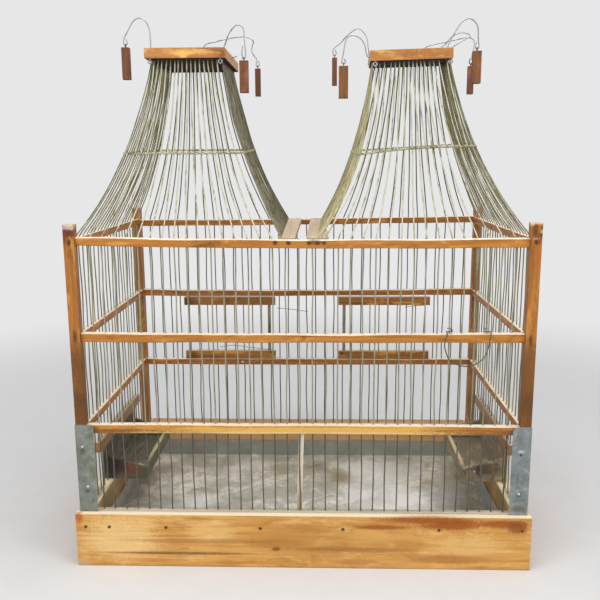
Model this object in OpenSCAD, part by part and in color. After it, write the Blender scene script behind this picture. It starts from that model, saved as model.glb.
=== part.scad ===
// Twin-spired canary breeding cage: a wooden frame strung with wire on a plinth
// with a zinc tray, two flared wire spires, sliding glass, doors and seed troughs.
// Millimetres. +X to the right, +Y to the back, +Z up. Origin: centre of the underside.

/* [Plinth] */
// Width of the plinth across the front
base_w = 537; // [500:1:560]
// Depth of the plinth, front to back
base_d = 326; // [318:1:340]
// Height of the plinth boards
base_h = 66; // [60:1:80]
// Thickness of the plinth boards
board_t = 19; // [17:0.5:20]

/* [Frame] */
// Width of the cage across its corner posts
cage_w = 528; // [520:1:532]
// Depth of the cage across its corner posts
cage_d = 310; // [306:1:312]
// Thickness of the square corner posts
post_t = 12; // [10:0.5:13]
// Height of the post tops above the table
post_top = 408; // [400:1:415]
// Height of the top face of the lower rails
lower_rail_z = 172.5; // [170:0.5:176]
// Distance from one rail to the next
rail_rise = 109.5; // [105:0.5:112]
// Height of a rail
rail_h = 8.6; // [7:0.1:10]
// Depth of a rail
rail_d = 8; // [6:0.5:9]
// How far the rails sit back from the post faces
rail_inset = 3.5; // [2:0.5:4]

/* [Wire] */
// Distance between neighbouring cage wires
wire_pitch = 14; // [13.5:0.1:14]
// Diameter of a cage wire
wire_d = 1.6; // [1.2:0.1:2]

/* [Spires] */
// Thickness of the wooden spire caps
cap_t = 12; // [9:0.5:14]
// Depth of the spire caps
cap_d = 138; // [125:1:150]
// Height of the underside of the caps at their middle
cap_z = 594.4; // [570:0.1:610]
// Height of the tied wire ring round each spire
ring_z = 485.5; // [460:0.5:510]
// How strongly the spire wires bow inward, as a share of their reach
flare = 0.16; // [0.1:0.01:0.25]

/* [Tray and glass] */
// Height of the zinc tray's rim above the table
tray_rim_z = 37; // [30:0.5:37.5]
// Height of the top edge of the glass pane
glass_top_z = 168.5; // [160:0.5:170]
// Thickness of the glass
glass_t = 2; // [1.5:0.1:2.2]
// Gauge of the zinc sheet
sheet_t = 0.8; // [0.6:0.1:1]

/* [Seed troughs] */
// Length of a seed trough along the side of the cage
trough_l = 146; // [120:1:146]
// How far a trough reaches into the cage from its outer face
trough_reach = 57; // [45:1:65]
// Height of the inner rim of a trough
trough_rim_z = 84; // [78:1:90]

/* [Hanging blocks] */
// Length of a hanging wooden block
block_h = 36; // [30:1:40]
// Width of a hanging wooden block of the common size
block_w = 10; // [8:0.5:11]

/* [Hidden] */

$fn = 48;
arc_fn = 180;                          // smoothness of long wire arcs
fit = 0.05;                            // clearance of a wire in its hole
gap = 0.3;                             // clearance of a sliding or resting piece
wire_r = wire_d / 2;
rail_z = [lower_rail_z, lower_rail_z + rail_rise, lower_rail_z + 2 * rail_rise];
top_z = rail_z[2];                     // top face of the upper rails

// Planes: half widths and depths measured from the origin
post_x = cage_w / 2;                   // outer side of the posts
post_y = cage_d / 2;                   // front and back of the posts
in_x = post_x - post_t;                // inner sides of the posts
in_y = post_y - post_t;
rail_y = post_y - rail_inset;          // front face of the front rails
wire_y = rail_y - rail_d / 2;          // plane of the front and back wires
rail_x = post_x - rail_inset;          // outer face of the side rails
wire_x = rail_x - rail_d / 2;          // plane of the side wires
seat = 10;                             // depth of a wire hole in the plinth

// Wire counts
bay_n = 16;                            // wire spaces across one spire
front_n = 36;                          // wire spaces across the front
side_n = 20;                           // wire spaces along a side
first_k = 1;                           // the outmost places are taken by the posts
last_k = front_n - 1;
function back_x(k) = (k - front_n / 2) * wire_pitch;
function side_y(k) = (k - side_n / 2) * wire_pitch;
// The front wires of the left bay stand a little closer than the others
left_squeeze = 3.6;                    // how far that bay's last wire stands to the left
middle_n = front_n - 2 * bay_n;        // wire spaces between the two bays
function front_x(k) = back_x(k)
  - left_squeeze * max(0, k <= bay_n ? (k - first_k) / (bay_n - first_k) : 1 - (k - bay_n) / middle_n);
function row_x(side, k) = side < 0 ? front_x(k) : back_x(k);

// Doors in the back: they take up the wires between two hinge-side and latch-side wires
door_k = [5, 14];                      // wire places of the left door: hinge wire, free edge
door_bar_h = 12;
door_over = 7.5;                       // length of a bar beyond its hinge wire
door_low_z = rail_z[0] + gap;          // underside of the lower bar
door_high_z = 258;                     // underside of the upper bar
door_rod_r = 2.4;                      // thick rod near the free edge
function is_door(k) = k > door_k[0] && k <= door_k[1];
function in_door(k) = is_door(k) || is_door(front_n - k);

// Seed trough opening in each side
trough_y = 7;                          // middle of the trough, front to back
trough_k = [6, 15];                    // first and last wire cut short by the opening
trough_bar_top = 132;                  // top of the bar above the opening
trough_bar_h = 13;
trough_bar_y = [-105, 91];             // ends of that bar
function over_trough(k) = k >= trough_k[0] && k <= trough_k[1];
trough_floor_z = base_h + gap;
trough_outer_x = 263;                  // outer face of the trough's outer board

// Tray
tray_floor_z = 12.4;
bottom_z = 6;                          // underside of the bottom board
tray_x = base_w / 2 - board_t - 1;     // outer side of the tray walls
tray_y0 = -base_d / 2 + board_t + 1;   // front of the tray
drawer_top = 37.5;                     // underside of the fixed back rail
drawer_y = base_d / 2 - board_t - 0.4; // inner face of the tray's wooden front

// Bridge planks between the spires: X of each plank's two edges at its front and back end
plank_t = 6;
plank_edge = [[[-25, -6.5], [-29.5, -7]], [[6.5, 31.5], [6.5, 27]]];
plank_y = rail_y - rail_d;             // both planks end at the rails
// Feet of the inner spire wires in the planks: X at the front and back end of the row
inner_x = [[-21.5, -26], [17.5, 23.5]];

// Spires: base rectangle at the rails, top rectangle under the cap
// Heads of the wires under the left and right cap, sideways from the cap's middle: first
// and last wire of the front and back rows, then the inner and the outer row
row_ends = [[-37.3, 36.7], [-40.4, 40.7]];
inner_head_x = [42, -44.6];
outer_head_x = [-41, 44.6];
cap_in_y = [61, 62.5];                 // half depth of the wire rows under each cap
cap_off_y = -3;                        // caps sit slightly to the front
// Each cap: X of its middle, width, and its turns in degrees: nose down, to the side, about Z.
// The left one sits square, the right one dips to the front and is turned a little
left_cap = [-136.5, 95, [0, 0, 0]];
right_cap = [131, 95.7, [3.5, -1, -3]];
ring_wire_r = 0.55;                    // radius of one strand of a tie ring
ring_wrap = 1.5;                       // distance of a strand from the wire it passes
ring_cross = 0.65;                     // height of a strand where the two cross
ring_share = 0.387;                    // how far out of its reach a wire meets the ring
ring_centre = [-139, 138];             // middle of the left and right rings, in X
ring_front_y = -94;                    // where in depth a ring is at its stated height
ring_lift = [0, 1.5];                  // the right ring sits a little higher
ring_fall = 0.034;                     // both rings rise a little towards the back
ring_tilt = [0, 0.052];                // and the right one to the right

// Colours
pine = [0.90, 0.70, 0.42];
oak = [0.72, 0.43, 0.18];
cream = [0.92, 0.83, 0.76];
cap_wood = [0.76, 0.49, 0.26];
steel = [0.62, 0.61, 0.54];
zinc = [0.58, 0.62, 0.63];
block_wood = [0.62, 0.38, 0.27];
dark_iron = [0.25, 0.22, 0.20];
trough_wood = [0.55, 0.40, 0.24];

// ---------- small building blocks ----------

// A box from its lowest corner to its highest corner
module span(a, b) {
  translate(a) cube(b - a);
}

// An upright wire from z0 to z1
module upright(x, y, z0, z1, r = wire_r) {
  translate([x, y, z0]) cylinder(r = r, h = z1 - z0);
}

// Wire bent through a list of points, with rounded elbows
module bent_wire(pts, r) {
  for (i = [0 : len(pts) - 2]) {
    v = pts[i + 1] - pts[i];
    l = norm(v);
    translate(pts[i])
      rotate([0, acos(v[2] / l), atan2(v[1], v[0])])
        cylinder(r = r, h = l);
    translate(pts[i + 1]) sphere(r = r);
  }
  translate(pts[0]) sphere(r = r);
}

// A true arc of wire in the XZ plane about a centre, from angle a0 through sweep
module arc_wire(centre, radius, a0, sweep, r) {
  translate(centre)
    rotate([90, 0, 0])
      rotate([0, 0, a0])
        rotate_extrude(angle = sweep, $fn = arc_fn)
          translate([radius, 0]) circle(r = r, $fn = 24);
}

// A flat-headed wire nail, head outward along -Y, its head at the origin
module nail(r = 1.6, h = 0.5, shank = 8) {
  rotate([90, 0, 0]) cylinder(r = r, h = h);
  rotate([-90, 0, 0]) cylinder(r = r * 0.45, h = shank);
}

// ---------- plinth ----------

module base_front_board() {
  color(pine)
    difference() {
      span([-base_w / 2, -base_d / 2, 0], [base_w / 2, -base_d / 2 + board_t, base_h]);
      for (k = [first_k : last_k])
        upright(front_x(k), -wire_y, base_h - seat, base_h + 1, wire_r + fit);
    }
}

module base_left_board() {
  color(pine)
    difference() {
      span([-base_w / 2, -base_d / 2 + board_t, 0], [-base_w / 2 + board_t, base_d / 2, base_h]);
      for (k = [0 : side_n])
        if (!over_trough(k))
          upright(-wire_x, side_y(k), base_h - seat, base_h + 1, wire_r + fit);
    }
}

module base_right_board() {
  color(pine)
    difference() {
      span([base_w / 2 - board_t, -base_d / 2 + board_t, 0], [base_w / 2, base_d / 2, base_h]);
      for (k = [0 : side_n])
        if (!over_trough(k))
          upright(wire_x, side_y(k), base_h - seat, base_h + 1, wire_r + fit);
    }
}

// Fixed rail above the drawer opening: it holds the feet of the back wires
module base_back_rail() {
  color(pine)
    difference() {
      span([-base_w / 2 + board_t, base_d / 2 - board_t, drawer_top],
           [base_w / 2 - board_t, base_d / 2, base_h]);
      for (k = [first_k : last_k])
        upright(back_x(k), wire_y, base_h - seat, base_h + 1, wire_r + fit);
    }
}

module bottom_board() {
  color(pine)
    span([-base_w / 2 + board_t, -base_d / 2 + board_t, bottom_z],
         [base_w / 2 - board_t, drawer_y - gap, tray_floor_z - 0.2]);
}

// ---------- frame ----------

// A corner post with a softened top
module post(sx, sy) {
  x = sx * (post_x - post_t / 2);
  y = sy * (post_y - post_t / 2);
  ease = 1.5;                          // size of the bevel round the top
  color(oak)
    difference() {
      translate([x - post_t / 2, y - post_t / 2, base_h]) cube([post_t, post_t, post_top - base_h]);
      for (a = [0 : 90 : 270])
        translate([x, y, post_top])
          rotate([0, 0, a])
            translate([post_t / 2, 0, 0])
              rotate([0, 45, 0])
                cube([2 * ease, post_t + 2, 2 * ease] / sqrt(2), center = true);
    }
}
module front_left_post() post(-1, -1);
module front_right_post() post(1, -1);
module back_left_post() post(-1, 1);
module back_right_post() post(1, 1);

// A rail across the front or back (side -1 or 1), drilled for the wires it carries
module cross_rail(side, level) {
  z = rail_z[level];
  y0 = side * wire_y - rail_d / 2;
  difference() {
    span([-in_x, y0, z - rail_h], [in_x, y0 + rail_d, z]);
    for (k = [first_k : last_k])
      upright(row_x(side, k), side * wire_y, z - rail_h - 1, z + 1, wire_r + fit);
  }
}
module front_top_rail() color(oak) cross_rail(-1, 2);
module front_middle_rail() color(oak) cross_rail(-1, 1);
module front_lower_rail() color(oak) cross_rail(-1, 0);
module back_rails() color(oak) for (level = [0 : 2]) cross_rail(1, level);

// Three rails and the bar above the trough opening, drilled for the side wires
module side_rails(side) {
  x0 = side * wire_x - rail_d / 2;
  difference() {
    union() {
      for (z = rail_z)
        span([x0, -in_y, z - rail_h], [x0 + rail_d, in_y, z]);
      span([x0, trough_bar_y[0], trough_bar_top - trough_bar_h],
           [x0 + rail_d, trough_bar_y[1], trough_bar_top]);
    }
    for (k = [0 : side_n])
      upright(side * wire_x, side_y(k), side_foot(k), top_z + 1, wire_r + fit);
  }
}
// Foot of a side wire: in the plinth, or in the bar above the trough opening
function side_foot(k) = over_trough(k) ? trough_bar_top - seat : base_h - seat;
module left_side_rails() color(oak) side_rails(-1);
module right_side_rails() color(oak) side_rails(1);

// Two thin planks that bridge the top between the spires, with a slot between them
// that a divider drops through
module bridge_planks() {
  color(cream)
    difference() {
      for (e = plank_edge)
        translate([0, 0, top_z - plank_t])
          linear_extrude(plank_t)
            polygon([[e[0][0], -plank_y], [e[0][1], -plank_y], [e[1][1], plank_y], [e[1][0], plank_y]]);
      for (k = [0 : side_n], s = [-1, 1])
        spire_wire(inner_foot(s, k), inner_head(s, k), wire_r + fit);
    }
}

module divider_slat() {
  lean = 3;                            // the slat leans a little to the left at its foot
  slat_w = 6;
  slat_t = 3;
  color(cream)
    translate([0, -wire_y + 1 + slat_t, base_h])
      rotate([90, 0, 0])
        linear_extrude(slat_t)
          polygon([[-lean - slat_w / 2, 0], [-lean + slat_w / 2, 0],
                   [slat_w / 2, lower_rail_z - rail_h - base_h],
                   [-slat_w / 2, lower_rail_z - rail_h - base_h]]);
}

// ---------- straight wires ----------

module front_wires() {
  color(steel)
    for (k = [first_k : last_k])
      upright(front_x(k), -wire_y, base_h - seat, top_z);
}

module back_wires() {
  color(steel)
    for (k = [first_k : last_k])
      if (!in_door(k))
        upright(back_x(k), wire_y, base_h - seat, top_z);
}

module wires_above_doors() {
  color(steel)
    for (k = [first_k : last_k])
      if (in_door(k))
        upright(back_x(k), wire_y, rail_z[1] - rail_h, top_z);
}

module wires_below_doors() {
  color(steel)
    for (k = [first_k : last_k])
      if (in_door(k))
        upright(back_x(k), wire_y, base_h - seat, rail_z[0]);
}

module side_wires(side) {
  for (k = [0 : side_n])
    upright(side * wire_x, side_y(k), side_foot(k), top_z);
}
module left_side_wires() color(steel) side_wires(-1);
module right_side_wires() color(steel) side_wires(1);

// ---------- spires ----------

// One spire wire from its foot to its head: a true arc, bowed inward, in an upright plane
module spire_wire(foot, head, r = wire_r) {
  d = foot - head;
  reach = norm([d[0], d[1]]);
  rise = head[2] - foot[2];
  chord = norm([reach, rise]);
  sag = flare * reach * rise / chord;
  radius = chord * chord / (8 * sag) + sag / 2;
  half = asin(chord / (2 * radius));
  turn = 180 + atan2(reach, rise);
  centre = [reach / 2 + (radius - sag) * rise / chord, rise / 2 + (radius - sag) * reach / chord];
  translate([head[0], head[1], foot[2]])
    rotate([0, 0, atan2(d[1], d[0])])
      rotate([90, 0, 0])
        translate([centre[0], centre[1], 0])
          rotate([0, 0, turn - half])
            rotate_extrude(angle = 2 * half, $fn = arc_fn)
              translate([radius, 0]) circle(r = r, $fn = 24);
}

// A place under cap c, u sideways and v to the back from its middle, as if it lay level
function cap_place(c, u, v) =
  let (t = c[2][2]) [c[0] + u * cos(t) - v * sin(t), cap_off_y + u * sin(t) + v * cos(t)];
// Height of the cap's underside at a place in X and Y
function cap_under(c, x, y) =
  let (p = c[2][0], r = c[2][1], t = c[2][2], a = cos(p) * sin(r), b = -sin(p),
       nx = a * cos(t) - b * sin(t), ny = a * sin(t) + b * cos(t))
  cap_z - (nx * (x - c[0]) + ny * (y - cap_off_y)) / (cos(p) * cos(r));
function cap_of(s) = s < 0 ? left_cap : right_cap;
function side_of(s) = s < 0 ? 0 : 1;
// Even spacing of n spaces from a to b
function even(k, n, a, b) = a + (b - a) * k / n;
foot_z = top_z + wire_r / 2;           // the slanted feet stand on the rails
function head_at(s, u, v) =
  let (q = cap_place(cap_of(s), u, v)) [q[0], q[1], cap_under(cap_of(s), q[0], q[1])];
corner_in = 4;                         // how far a side row stops short of the front and back rows
function side_head_y(s, k) =
  let (v = cap_in_y[side_of(s)] - corner_in) even(k, side_n, -v, v);

// Feet and heads of the wires in row front/back (side -1 or 1) of spire s (-1 left, 1 right).
// A row has bay_n wires: each takes up the line of the cage wire below it
row_last = bay_n - 1;
function row_foot(s, side, k) =
  [row_x(side, s < 0 ? first_k + k : last_k - row_last + k), side * wire_y, foot_z];
function row_head(s, side, k) =
  let (e = row_ends[side_of(s)])
  head_at(s, even(k, row_last, e[0], e[1]), side * cap_in_y[side_of(s)]);
function outer_foot(s, k) = [s * wire_x, side_y(k), foot_z];
function outer_head(s, k) = head_at(s, outer_head_x[side_of(s)], side_head_y(s, k));
function inner_foot(s, k) =
  let (x = inner_x[side_of(s)]) [even(k, side_n, x[0], x[1]), side_y(k), top_z - plank_t / 2];
function inner_head(s, k) = head_at(s, inner_head_x[side_of(s)], side_head_y(s, k));

module spire_row(s, side) {
  for (k = [0 : row_last]) spire_wire(row_foot(s, side, k), row_head(s, side, k));
}
module spire_outer(s) {
  for (k = [0 : side_n]) spire_wire(outer_foot(s, k), outer_head(s, k));
}
module spire_inner(s) {
  for (k = [0 : side_n]) spire_wire(inner_foot(s, k), inner_head(s, k));
}
module left_spire_front_wires() color(steel) spire_row(-1, -1);
module left_spire_back_wires() color(steel) spire_row(-1, 1);
module left_spire_outer_wires() color(steel) spire_outer(-1);
module left_spire_inner_wires() color(steel) spire_inner(-1);
module right_spire_front_wires() color(steel) spire_row(1, -1);
module right_spire_back_wires() color(steel) spire_row(1, 1);
module right_spire_outer_wires() color(steel) spire_outer(1);
module right_spire_inner_wires() color(steel) spire_inner(1);

module spire_cap(c) {
  color(cap_wood)
    translate([c[0], cap_off_y, cap_z])
      rotate(c[2])
        translate([-c[1] / 2, -cap_d / 2, 0]) cube([c[1], cap_d, cap_t]);
}
module left_spire_cap() spire_cap(left_cap);
module right_spire_cap() spire_cap(right_cap);

// Place of a spire wire at a height z, worked out from its arc
function on_wire(foot, head, z) =
  let (d = foot - head,
       reach = norm([d[0], d[1]]),
       rise = head[2] - foot[2],
       chord = norm([reach, rise]),
       sag = flare * reach * rise / chord,
       radius = chord * chord / (8 * sag) + sag / 2,
       cu = reach / 2 + (radius - sag) * rise / chord,
       cz = rise / 2 + (radius - sag) * reach / chord,
       h = z - foot[2] - cz,
       u = cu - sqrt(radius * radius - h * h))
  [head[0] + d[0] * u / reach, head[1] + d[1] * u / reach, z];

// Where the tie ring of spire s meets the wire from foot to head
function tie_point(s, foot, head) =
  let (side = side_of(s),
       near = head + (foot - head) * ring_share,
       z = ring_z + ring_lift[side] + ring_tilt[side] * (near[0] - ring_centre[side])
         + ring_fall * (near[1] - ring_front_y))
  on_wire(foot, head, z);

// The ring's way round a spire, wire by wire: front, right side, back, left side
function side_point(s, outer, k) = outer
  ? tie_point(s, outer_foot(s, k), outer_head(s, k))
  : tie_point(s, inner_foot(s, k), inner_head(s, k));
function ring_line(s) = concat(
  [for (k = [0 : row_last]) tie_point(s, row_foot(s, -1, k), row_head(s, -1, k))],
  [for (k = [0 : side_n]) side_point(s, s > 0, k)],
  [for (k = [row_last : -1 : 0]) tie_point(s, row_foot(s, 1, k), row_head(s, 1, k))],
  [for (k = [side_n : -1 : 0]) side_point(s, s < 0, k)]);

function unit(v) = v / norm(v);

// A wire of radius r along a list of points, as a tube with flat sides.
// ref is a direction that the wire never follows
module tube(path, r, sides, ref, closed = false) {
  n = len(path);
  last = closed ? n - 1 : n - 2;
  function at(i) = path[closed ? (i + n) % n : min(max(i, 0), n - 1)];
  polyhedron(
    points = [for (i = [0 : n - 1])
      let (t = unit(at(i + 1) - at(i - 1)), a = unit(cross(t, ref)), b = cross(a, t))
      for (j = [0 : sides - 1])
        path[i] + r * (cos(360 * j / sides) * a + sin(360 * j / sides) * b)],
    faces = concat(
      [for (i = [0 : last], j = [0 : sides - 1], half = [0, 1])
        let (a = i * sides + j, b = i * sides + (j + 1) % sides,
             c = ((i + 1) % n) * sides + (j + 1) % sides, d = ((i + 1) % n) * sides + j)
        half == 0 ? [a, b, c] : [a, c, d]],
      closed ? [] : [[for (j = [sides - 1 : -1 : 0]) j],
                     [for (j = [0 : sides - 1]) (n - 1) * sides + j]]));
}

// Two strands that twist round each other all the way round a spire, half a turn
// between neighbouring wires, so that each cage wire is held between them
module tie_ring(s) {
  line = ring_line(s);
  n = len(line);
  steps = 3;                           // sections per half turn
  function out(i) =
    let (t = unit(line[(i + 1) % n] - line[(i + n - 1) % n])) [t[1], -t[0], 0];
  color(steel)
    for (phase = [0, 180])
      tube([for (i = [0 : n - 1], m = [0 : steps - 1])
              let (f = m / steps, a = 90 + phase + 180 * (i + f), j = (i + 1) % n)
              line[i] * (1 - f) + line[j] * f
                + ring_wrap * sin(a) * (out(i) * (1 - f) + out(j) * f)
                + [0, 0, ring_cross * cos(a)]],
           ring_wire_r, 5, [0, 0, 1], true);
}
module left_tie_ring() tie_ring(-1);
module right_tie_ring() tie_ring(1);

// ---------- zinc, glass and nails ----------

plate_w = 21.8;                        // width of a corner plate's front leg
plate_top = 174.5;
// The front leg of a plate seen from the front, its inner upper corner rounded by r
module plate_face(r) {
  h = plate_top - base_h;
  square([plate_w, h - r]);
  translate([r, 0]) square([plate_w - r, h]);
  translate([r, h - r]) circle(r = r);
}
// A zinc plate bent round a post: it keeps the edge of the glass in place
module corner_plate(r) {
  color(zinc) {
    translate([post_x + sheet_t - plate_w, -post_y, base_h])
      rotate([90, 0, 0])
        linear_extrude(sheet_t)
          plate_face(r);
    span([post_x, -post_y - sheet_t, base_h], [post_x + sheet_t, -post_y + post_t, plate_top]);
  }
}
module left_corner_plate() mirror([1, 0, 0]) corner_plate(1.5);
module right_corner_plate() corner_plate(8);

module glass_pane() {
  y = -rail_y - 0.8 - glass_t;         // just in front of the rails, behind the zinc plates
  color([0.8, 0.88, 0.88, 0.35])
    span([-in_x + 1.5, y, base_h + gap], [in_x - 1.5, y + glass_t, glass_top_z]);
}

// Nail places along the plinth front: X of each nail, all at one height
nail_row_z = 50;
nail_row_x = [-256.7, -228.5, -160.8, -48.8, 48.7, 161, 257.5];
module plinth_nail_places() {
  for (x = nail_row_x) translate([x, -base_d / 2, nail_row_z]) children();
}
module plinth_nails() {
  color(dark_iron) plinth_nail_places() nail(shank = 22);
}

module frame_nails() {
  post_nail_x = post_x - 6.5;
  color(dark_iron) {
    for (s = [-1, 1], z = [rail_z[1] - 2, rail_z[2] - 3])
      translate([s * post_nail_x, -post_y, z]) nail(r = 1.3, shank = 5);
    // Nails through the top rail into the bridge planks, and one that only the rail holds
    for (n = [[-27, 6], [-14, 12], [9, 12], [18, 12]])
      translate([n[0], -rail_y, top_z - 4]) nail(r = 1.3, shank = n[1]);
    for (p = [[-257, 148], [-253.5, 98], [253.5, 141], [253.5, 93]])
      translate([p[0], -post_y - sheet_t, p[1]]) nail(r = 1.4, shank = 5);
    translate([post_x, -post_y + 6, rail_z[2] + 6]) rotate([0, 0, 90]) nail(r = 1.5, shank = 5);
    translate([-152, -62, cap_z + cap_t]) rotate([-90, 0, 0]) nail(r = 1.5, shank = 5);
  }
}

// ---------- tray drawer ----------

module zinc_tray() {
  color(zinc)
    difference() {
      span([-tray_x, tray_y0, tray_floor_z], [tray_x, drawer_y, tray_rim_z]);
      span([-tray_x + sheet_t, tray_y0 + sheet_t, tray_floor_z + sheet_t],
           [tray_x - sheet_t, drawer_y - sheet_t, tray_rim_z + 1]);
    }
}

module tray_front() {
  color(pine)
    span([-tray_x + 0.4, drawer_y, 1.5],
         [tray_x - 0.4, base_d / 2, drawer_top - 0.4]);
}

// ---------- doors ----------

module door_bars(s) {
  x0 = back_x(door_k[0]) - door_over;
  x1 = back_x(door_k[1]) + door_over;
  difference() {
    for (z = [door_low_z, door_high_z])
      span([x0, wire_y - rail_d / 2, z], [x1, wire_y + rail_d / 2, z + door_bar_h]);
    upright(back_x(door_k[0]), wire_y, rail_z[0], rail_z[1], wire_r + fit);
    door_wire_set();
  }
}
// Wires strung between the two bars, and the thick rod near the free edge
module door_wire_set() {
  z0 = door_low_z + door_bar_h / 2;
  z1 = door_high_z + door_bar_h / 2;
  for (k = [door_k[0] + 1 : door_k[1] - 1]) upright(back_x(k), wire_y, z0, z1);
  upright(back_x(door_k[1]) - 2, wire_y, z0, z1, door_rod_r);
}
module left_door_bars() color(oak) door_bars(-1);
module left_door_wires() color(steel) door_wire_set();
module right_door_bars() color(oak) mirror([1, 0, 0]) door_bars(1);
module right_door_wires() color(steel) mirror([1, 0, 0]) door_wire_set();

// ---------- seed troughs ----------

module trough(s) {
  y0 = trough_y - trough_l / 2;
  y1 = trough_y + trough_l / 2;
  x_in = trough_outer_x - trough_reach;
  board = 5;
  outer_z = trough_bar_top - trough_bar_h - gap;
  rim_out_z = 98;                      // rim height where the cheeks meet the outer board
  color(trough_wood)
    mirror([s < 0 ? 1 : 0, 0, 0]) {
      span([x_in, y0, trough_floor_z], [trough_outer_x, y1, trough_floor_z + 4]);
      span([x_in, y0, trough_floor_z], [x_in + board, y1, trough_rim_z]);
      span([trough_outer_x - board - 1, y0, trough_floor_z], [trough_outer_x, y1, outer_z]);
      for (y = [y0, y1 - board])
        translate([0, y + board, 0])
          rotate([90, 0, 0])
            linear_extrude(board)
              polygon([[x_in, trough_floor_z], [trough_outer_x - board, trough_floor_z],
                       [trough_outer_x - board, rim_out_z], [x_in, trough_rim_z]]);
    }
}
module left_trough() trough(-1);
module right_trough() trough(1);

// ---------- hooks and hanging blocks ----------

hook_r = 0.8;                          // radius of the hook wire
eye_r = 0.45;                          // radius of the wire of a block's eye
eye_in = 1.6;                          // inner radius of that eye
// Each hook: the points its wire is bent through, from its foot in the cap to the loop
// the block hangs from, then that loop's lowest point, its height, and the side the wire
// comes down on
hook_left_a = [[[-177, -66, 603], [-176.6, -67, 616], [-177.6, -67, 628], [-181.5, -68, 636.5],
  [-189.5, -68, 640], [-196.5, -68, 635.5], [-202, -68, 627]], [-206, -68, 610], 8, -1];
hook_left_b = [[[-93.5, -66, 603], [-89.5, -67, 609], [-84.6, -68, 621], [-79, -68, 628],
  [-73.7, -68, 631.3], [-67.5, -68, 627]], [-67.4, -68, 594], 18, 1];
hook_left_c = [[[-146, 60, 603], [-134, 62, 628], [-118, 63, 633.5], [-101.7, 64, 637.4],
  [-88, 65, 639.5], [-77, 66, 639.5], [-68.4, 66, 634.5], [-70, 66, 627], [-70.5, 66, 620]],
  [-62.8, 66, 601.5], 9, -1];
hook_right_a = [[[81, -66, 594.4], [77, -66.5, 594.8], [75, -67, 600], [74, -68, 606],
  [69.4, -68, 613.8], [60, -68, 618.3], [52.1, -68, 614]], [49, -68, 586.8], 7, -1];
hook_right_b = [[[85.5, 60, 601], [86.4, 62, 613], [85.4, 63, 624], [82.4, 64, 639],
  [71.8, 65, 648.6], [58.7, 66, 641], [49, 66, 631]], [40.7, 66, 614.6], 9, -1];
hook_right_c = [[[167.8, -66, 600], [171.5, -67, 610], [176.5, -68, 619], [184.8, -68, 631.5],
  [194.1, -68, 635.1], [202.5, -68, 627]], [203, -68, 602.1], 9, 1];
hook_right_d = [[[172, 60, 603], [184, 60, 613], [199.5, 60, 625], [213, 60.5, 632.5],
  [220, 61.5, 637.5], [211, 62.5, 641.5], [202.6, 63, 640], [194, 63.5, 635], [187, 64, 627],
  [174, 65, 619], [162, 66.5, 619], [163, 67.5, 624.5], [176, 68, 628.5], [191.5, 68, 631.3],
  [207, 68, 634.5], [220, 68, 636], [226.6, 67, 630]], [222.8, 66, 602], 9, 1];

// A smooth line through points, m steps between neighbours
function smooth(p, m) =
  let (n = len(p))
  [for (i = [0 : n - 2], j = [0 : m - (i == n - 2 ? 0 : 1)])
    let (a = i == 0 ? 2 * p[0] - p[1] : p[i - 1], b = p[i], c = p[i + 1],
         d = i == n - 2 ? 2 * p[n - 1] - p[n - 2] : p[i + 2], t = j / m)
    0.5 * (2 * b + (c - a) * t + (2 * a - 5 * b + 4 * c - d) * t * t
      + (3 * b - a - 3 * c + d) * t * t * t)];

// The narrow loop at the end of a hook: down one side, round and up the other
function end_loop(low, h, side) =
  [for (q = [[1.1, h], [2.1, h * 0.45], [1.5, 0.75], [0, 0], [-1.5, 0.75], [-2.1, h * 0.4],
             [-0.9, h * 0.8]])
    low + [side * q[0], 0, q[1]]];

module hook(h) {
  tube(smooth(concat(h[0], end_loop(h[1], h[2], h[3])), 4), hook_r, 6, [0, 1, 0]);
}

// The end of a hook where it is turned into a loop under cap c, at place p
module hook_foot(c, p) {
  loop_r = 2.1;
  neck = 1.4;                          // length of wire between the cap and the loop
  z = cap_under(c, p[0], p[1]);
  upright(p[0], p[1], z - neck, z + 1, hook_r);
  arc_wire([p[0], p[1], z - neck - loop_r], loop_r, 0, 360, hook_r);
}

module left_cap_hooks() {
  color(steel) {
    hook(hook_left_a);
    hook(hook_left_b);
    hook(hook_left_c);
    for (p = [[-178, -68], [-95, -68]]) hook_foot(left_cap, p);
    bent_wire([[-94, -20, 599], [-80.5, -20, 603.5]], hook_r);
  }
}
module right_cap_hooks() {
  color(steel) {
    hook(hook_right_a);
    hook(hook_right_b);
    hook(hook_right_c);
    hook(hook_right_d);
    for (p = [[86, -68], [172.5, -71]]) hook_foot(right_cap, p);
  }
}

// A square block of wood on a wire eye that hangs in the loop of hook h; share is its
// width against the common size
module block(h, share = 1) {
  low = h[1];
  w = block_w * share;
  eye_major = eye_in + eye_r;
  eye_z = low[2] + hook_r + fit - eye_in;        // centre of the eye
  top = eye_z - eye_major - eye_r / 4;
  color(block_wood)
    translate([low[0] - w / 2, low[1] - w / 2, top - block_h])
      cube([w, w, block_h]);
  color(steel)
    translate([low[0], low[1], eye_z])
      rotate([0, 90, 0])
        rotate_extrude() translate([eye_major, 0]) circle(r = eye_r, $fn = 24);
}
module block_left_a() block(hook_left_a, 0.86);
module block_left_b() block(hook_left_b);
module block_left_c() block(hook_left_c, 0.72);
module block_right_a() block(hook_right_a, 1.08);
module block_right_b() block(hook_right_b, 0.66);
module block_right_c() block(hook_right_c, 0.94);
module block_right_d() block(hook_right_d, 0.76);

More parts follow.
